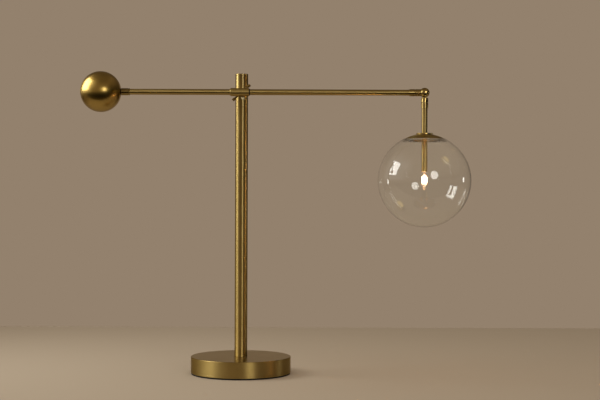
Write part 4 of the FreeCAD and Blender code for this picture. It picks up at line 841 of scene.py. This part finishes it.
def hung(name, points, share, low, high):
    """Cloth or wall from a grid of points, whose share, 0 to 1, runs from one colour to another. The
    polished surfaces alone see it."""
    rows, columns = share.shape
    i, j = np.meshgrid(np.arange(columns - 1), np.arange(rows - 1))
    k = (j * columns + i).ravel()
    mesh = bpy.data.meshes.new(name)
    mesh.from_pydata(points.reshape(-1, 3), [], np.stack([k, k + 1, k + columns + 1, k + columns], 1))
    mesh.attributes.new("share", "FLOAT", "POINT").data.foreach_set("value", share.ravel())
    material, tree = blank(name + "_felt")
    place = add(tree, "ShaderNodeAttribute", {"attribute_name": "share"}).outputs["Fac"]
    tone = add(tree, "ShaderNodeMix", {"data_type": "RGBA"},
               {"Factor": place, "A": linear(low), "B": linear(high)}).outputs["Result"]
    shade = add(tree, "ShaderNodeEmission", None, {"Color": tone}).outputs[0]
    add(tree, "ShaderNodeOutputMaterial", None, {"Surface": shade})
    material.cycles.emission_sampling = "NONE"
    mesh.materials.append(material)
    made = shown(name, mesh)
    made.visible_camera = made.visible_transmission = made.visible_diffuse = made.visible_shadow = False


def zone(a, h, radius=3.2):
    """Points of a sphere round the lamp, radius * (cos h sin a, -cos h cos a, sin h): a is 0 before the
    lamp and 90 degrees on its right, h the height in degrees."""
    a, h = np.radians(a), np.radians(h)
    centre = (0.0, 0.0, 0.35)
    return radius * np.stack([np.cos(h) * np.sin(a), -np.cos(h) * np.cos(a), np.sin(h)], -1) + centre


def smooth(value, low, high):
    """0 below low, 1 above high and an S between them: 3 s^2 - 2 s^3 of the share s of the way."""
    share = np.clip((value - low) / (high - low), 0, 1)
    return share * share * (3 - 2 * share)


# In the surroundings below, a and h are degrees as in zone().
def front_cloth():
    """Cloth before the lamp, which gives brass its dark bands: a part of the sphere from 60 degrees
    below up to just under the horizon, and to 59 above it on the right. Its upper hem fades out."""
    a, t = np.meshgrid(np.linspace(-130, 150, 57), np.linspace(0, 1, 17))
    rise = smooth(a, 5, 80)
    h = -60 + t * (59 + 60 * rise)
    hem = 0.15 + 0.25 * rise
    hung("front_cloth", zone(a, h), np.clip((t - 1 + hem) / hem, 0, 1), FELT, BACKDROP)


def floor_cloth():
    """Flat cloth on the table before the lamp, which the underside of the arm and the ball show."""
    side, near, far, lift = 3.0, -3.0, -0.4, 0.5 * MM
    x, y = np.meshgrid((-side, side), (near, far))
    hung("floor_cloth", np.stack([x, y, np.full_like(x, lift)], -1), np.zeros_like(x), FELT, BACKDROP)


def overhead_cloth():
    """Cloth over and behind the lamp, out of the camera's view, which darkens the rims and the dome: the
    sphere from 12 degrees up to its top. It is darkest behind, and before the lamp it starts at 30."""
    a, h = np.meshgrid(np.linspace(-180, 180, 73), np.linspace(12, 89, 25))
    behind = smooth(np.abs(a), 100, 130)
    dark = 0.5 * behind * smooth(h, 12, 24) + 0.4 * (1 - behind) * smooth(h, 30, 60)
    hung("overhead_cloth", zone(a, h), 1 - dark, FELT, BACKDROP)


def lit_wall():
    """Wall at the left beside the key light, which draws that light's highlights out: a part of the
    sphere, broad low down and narrower beside the light, that fades out at all its edges."""
    a, h = np.meshgrid(np.linspace(-132, -24, 37), np.linspace(-1, 62, 22))
    broad = (1 - smooth(a, -71, -37)) * smooth(h, -1, 4) * (1 - smooth(h, 30, 62))
    beside = (1 - smooth(a, -54, -26)) * smooth(h, 14, 28) * (1 - smooth(h, 36, 56))
    bright = smooth(a, -130, -104) * np.maximum(broad, beside)
    hung("lit_wall", zone(a, h, 3.0), bright, BACKDROP, LIT)


# ================================================================ lights and camera
DAYLIGHT = "#FFFDF8"
WARMER = "#FFFBF4"
LAMPLIGHT = "#FFBE82"


def softbox(name, place, target, width, height, power, colour, shape="RECTANGLE"):
    """Soft light with a flat front, not seen by the camera itself."""
    data = bpy.data.lights.new(name, "AREA")
    data.shape = shape
    data.size, data.size_y = width, height
    data.energy = power
    data.color = linear(colour)[:3]
    lamp = shown(name, data)
    lamp.location = place
    lamp.rotation_euler = (Vector(target) - Vector(place)).to_track_quat("-Z", "Y").to_euler()
    lamp.visible_camera = False
    return lamp


def bulb_light():
    """Warm light from the middle of the filament."""
    data = bpy.data.lights.new("bulb_light", "POINT")
    data.energy, data.shadow_soft_size = 0.43, 3 * MM
    data.color = linear(LAMPLIGHT)[:3]
    lamp = shown("bulb_light", data)
    lamp.location = np.mean(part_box("bulb_filament"), axis=0)
    lamp.visible_camera = False


def camera():
    """Level camera before the lamp, as far and as high as the photograph's and with its slight roll."""
    data = bpy.data.cameras.new("camera")
    data.lens, data.sensor_width = 75.0, 36.0
    made = shown("camera", data)
    made.location = (0.1015, -2.165, 0.3005)
    made.rotation_euler = (math.radians(90), math.radians(-0.2), 0.0)
    bpy.context.scene.camera = made


table()
backdrop()
front_cloth()
floor_cloth()
overhead_cloth()
lit_wall()
softbox("key_left", place=(-0.80, -0.02, 0.79), target=(0.1, -0.02, 0.45),
        width=0.54, height=0.52, power=5.6, colour=DAYLIGHT)
softbox("front_soft", place=(1.20, -2.68, 0.94), target=(0.0, 0.0, 0.35),
        width=0.96, height=0.96, power=13.5, colour=WARMER, shape="DISK")
softbox("right_strip", place=(2.44, 0.50, 0.40), target=(0.3, 0.0, 0.33),
        width=0.15, height=0.26, power=1.1, colour=DAYLIGHT)
matt_fill = softbox("matt_fill", place=(0.0, -0.4, 2.8), target=(0.0, 0.0, 0.0),
                    width=2.6, height=2.6, power=30.0, colour=DAYLIGHT)
matt_fill.visible_glossy = matt_fill.visible_transmission = False
bulb_light()
camera()

view = bpy.context.scene.view_settings
view.view_transform = "Standard"
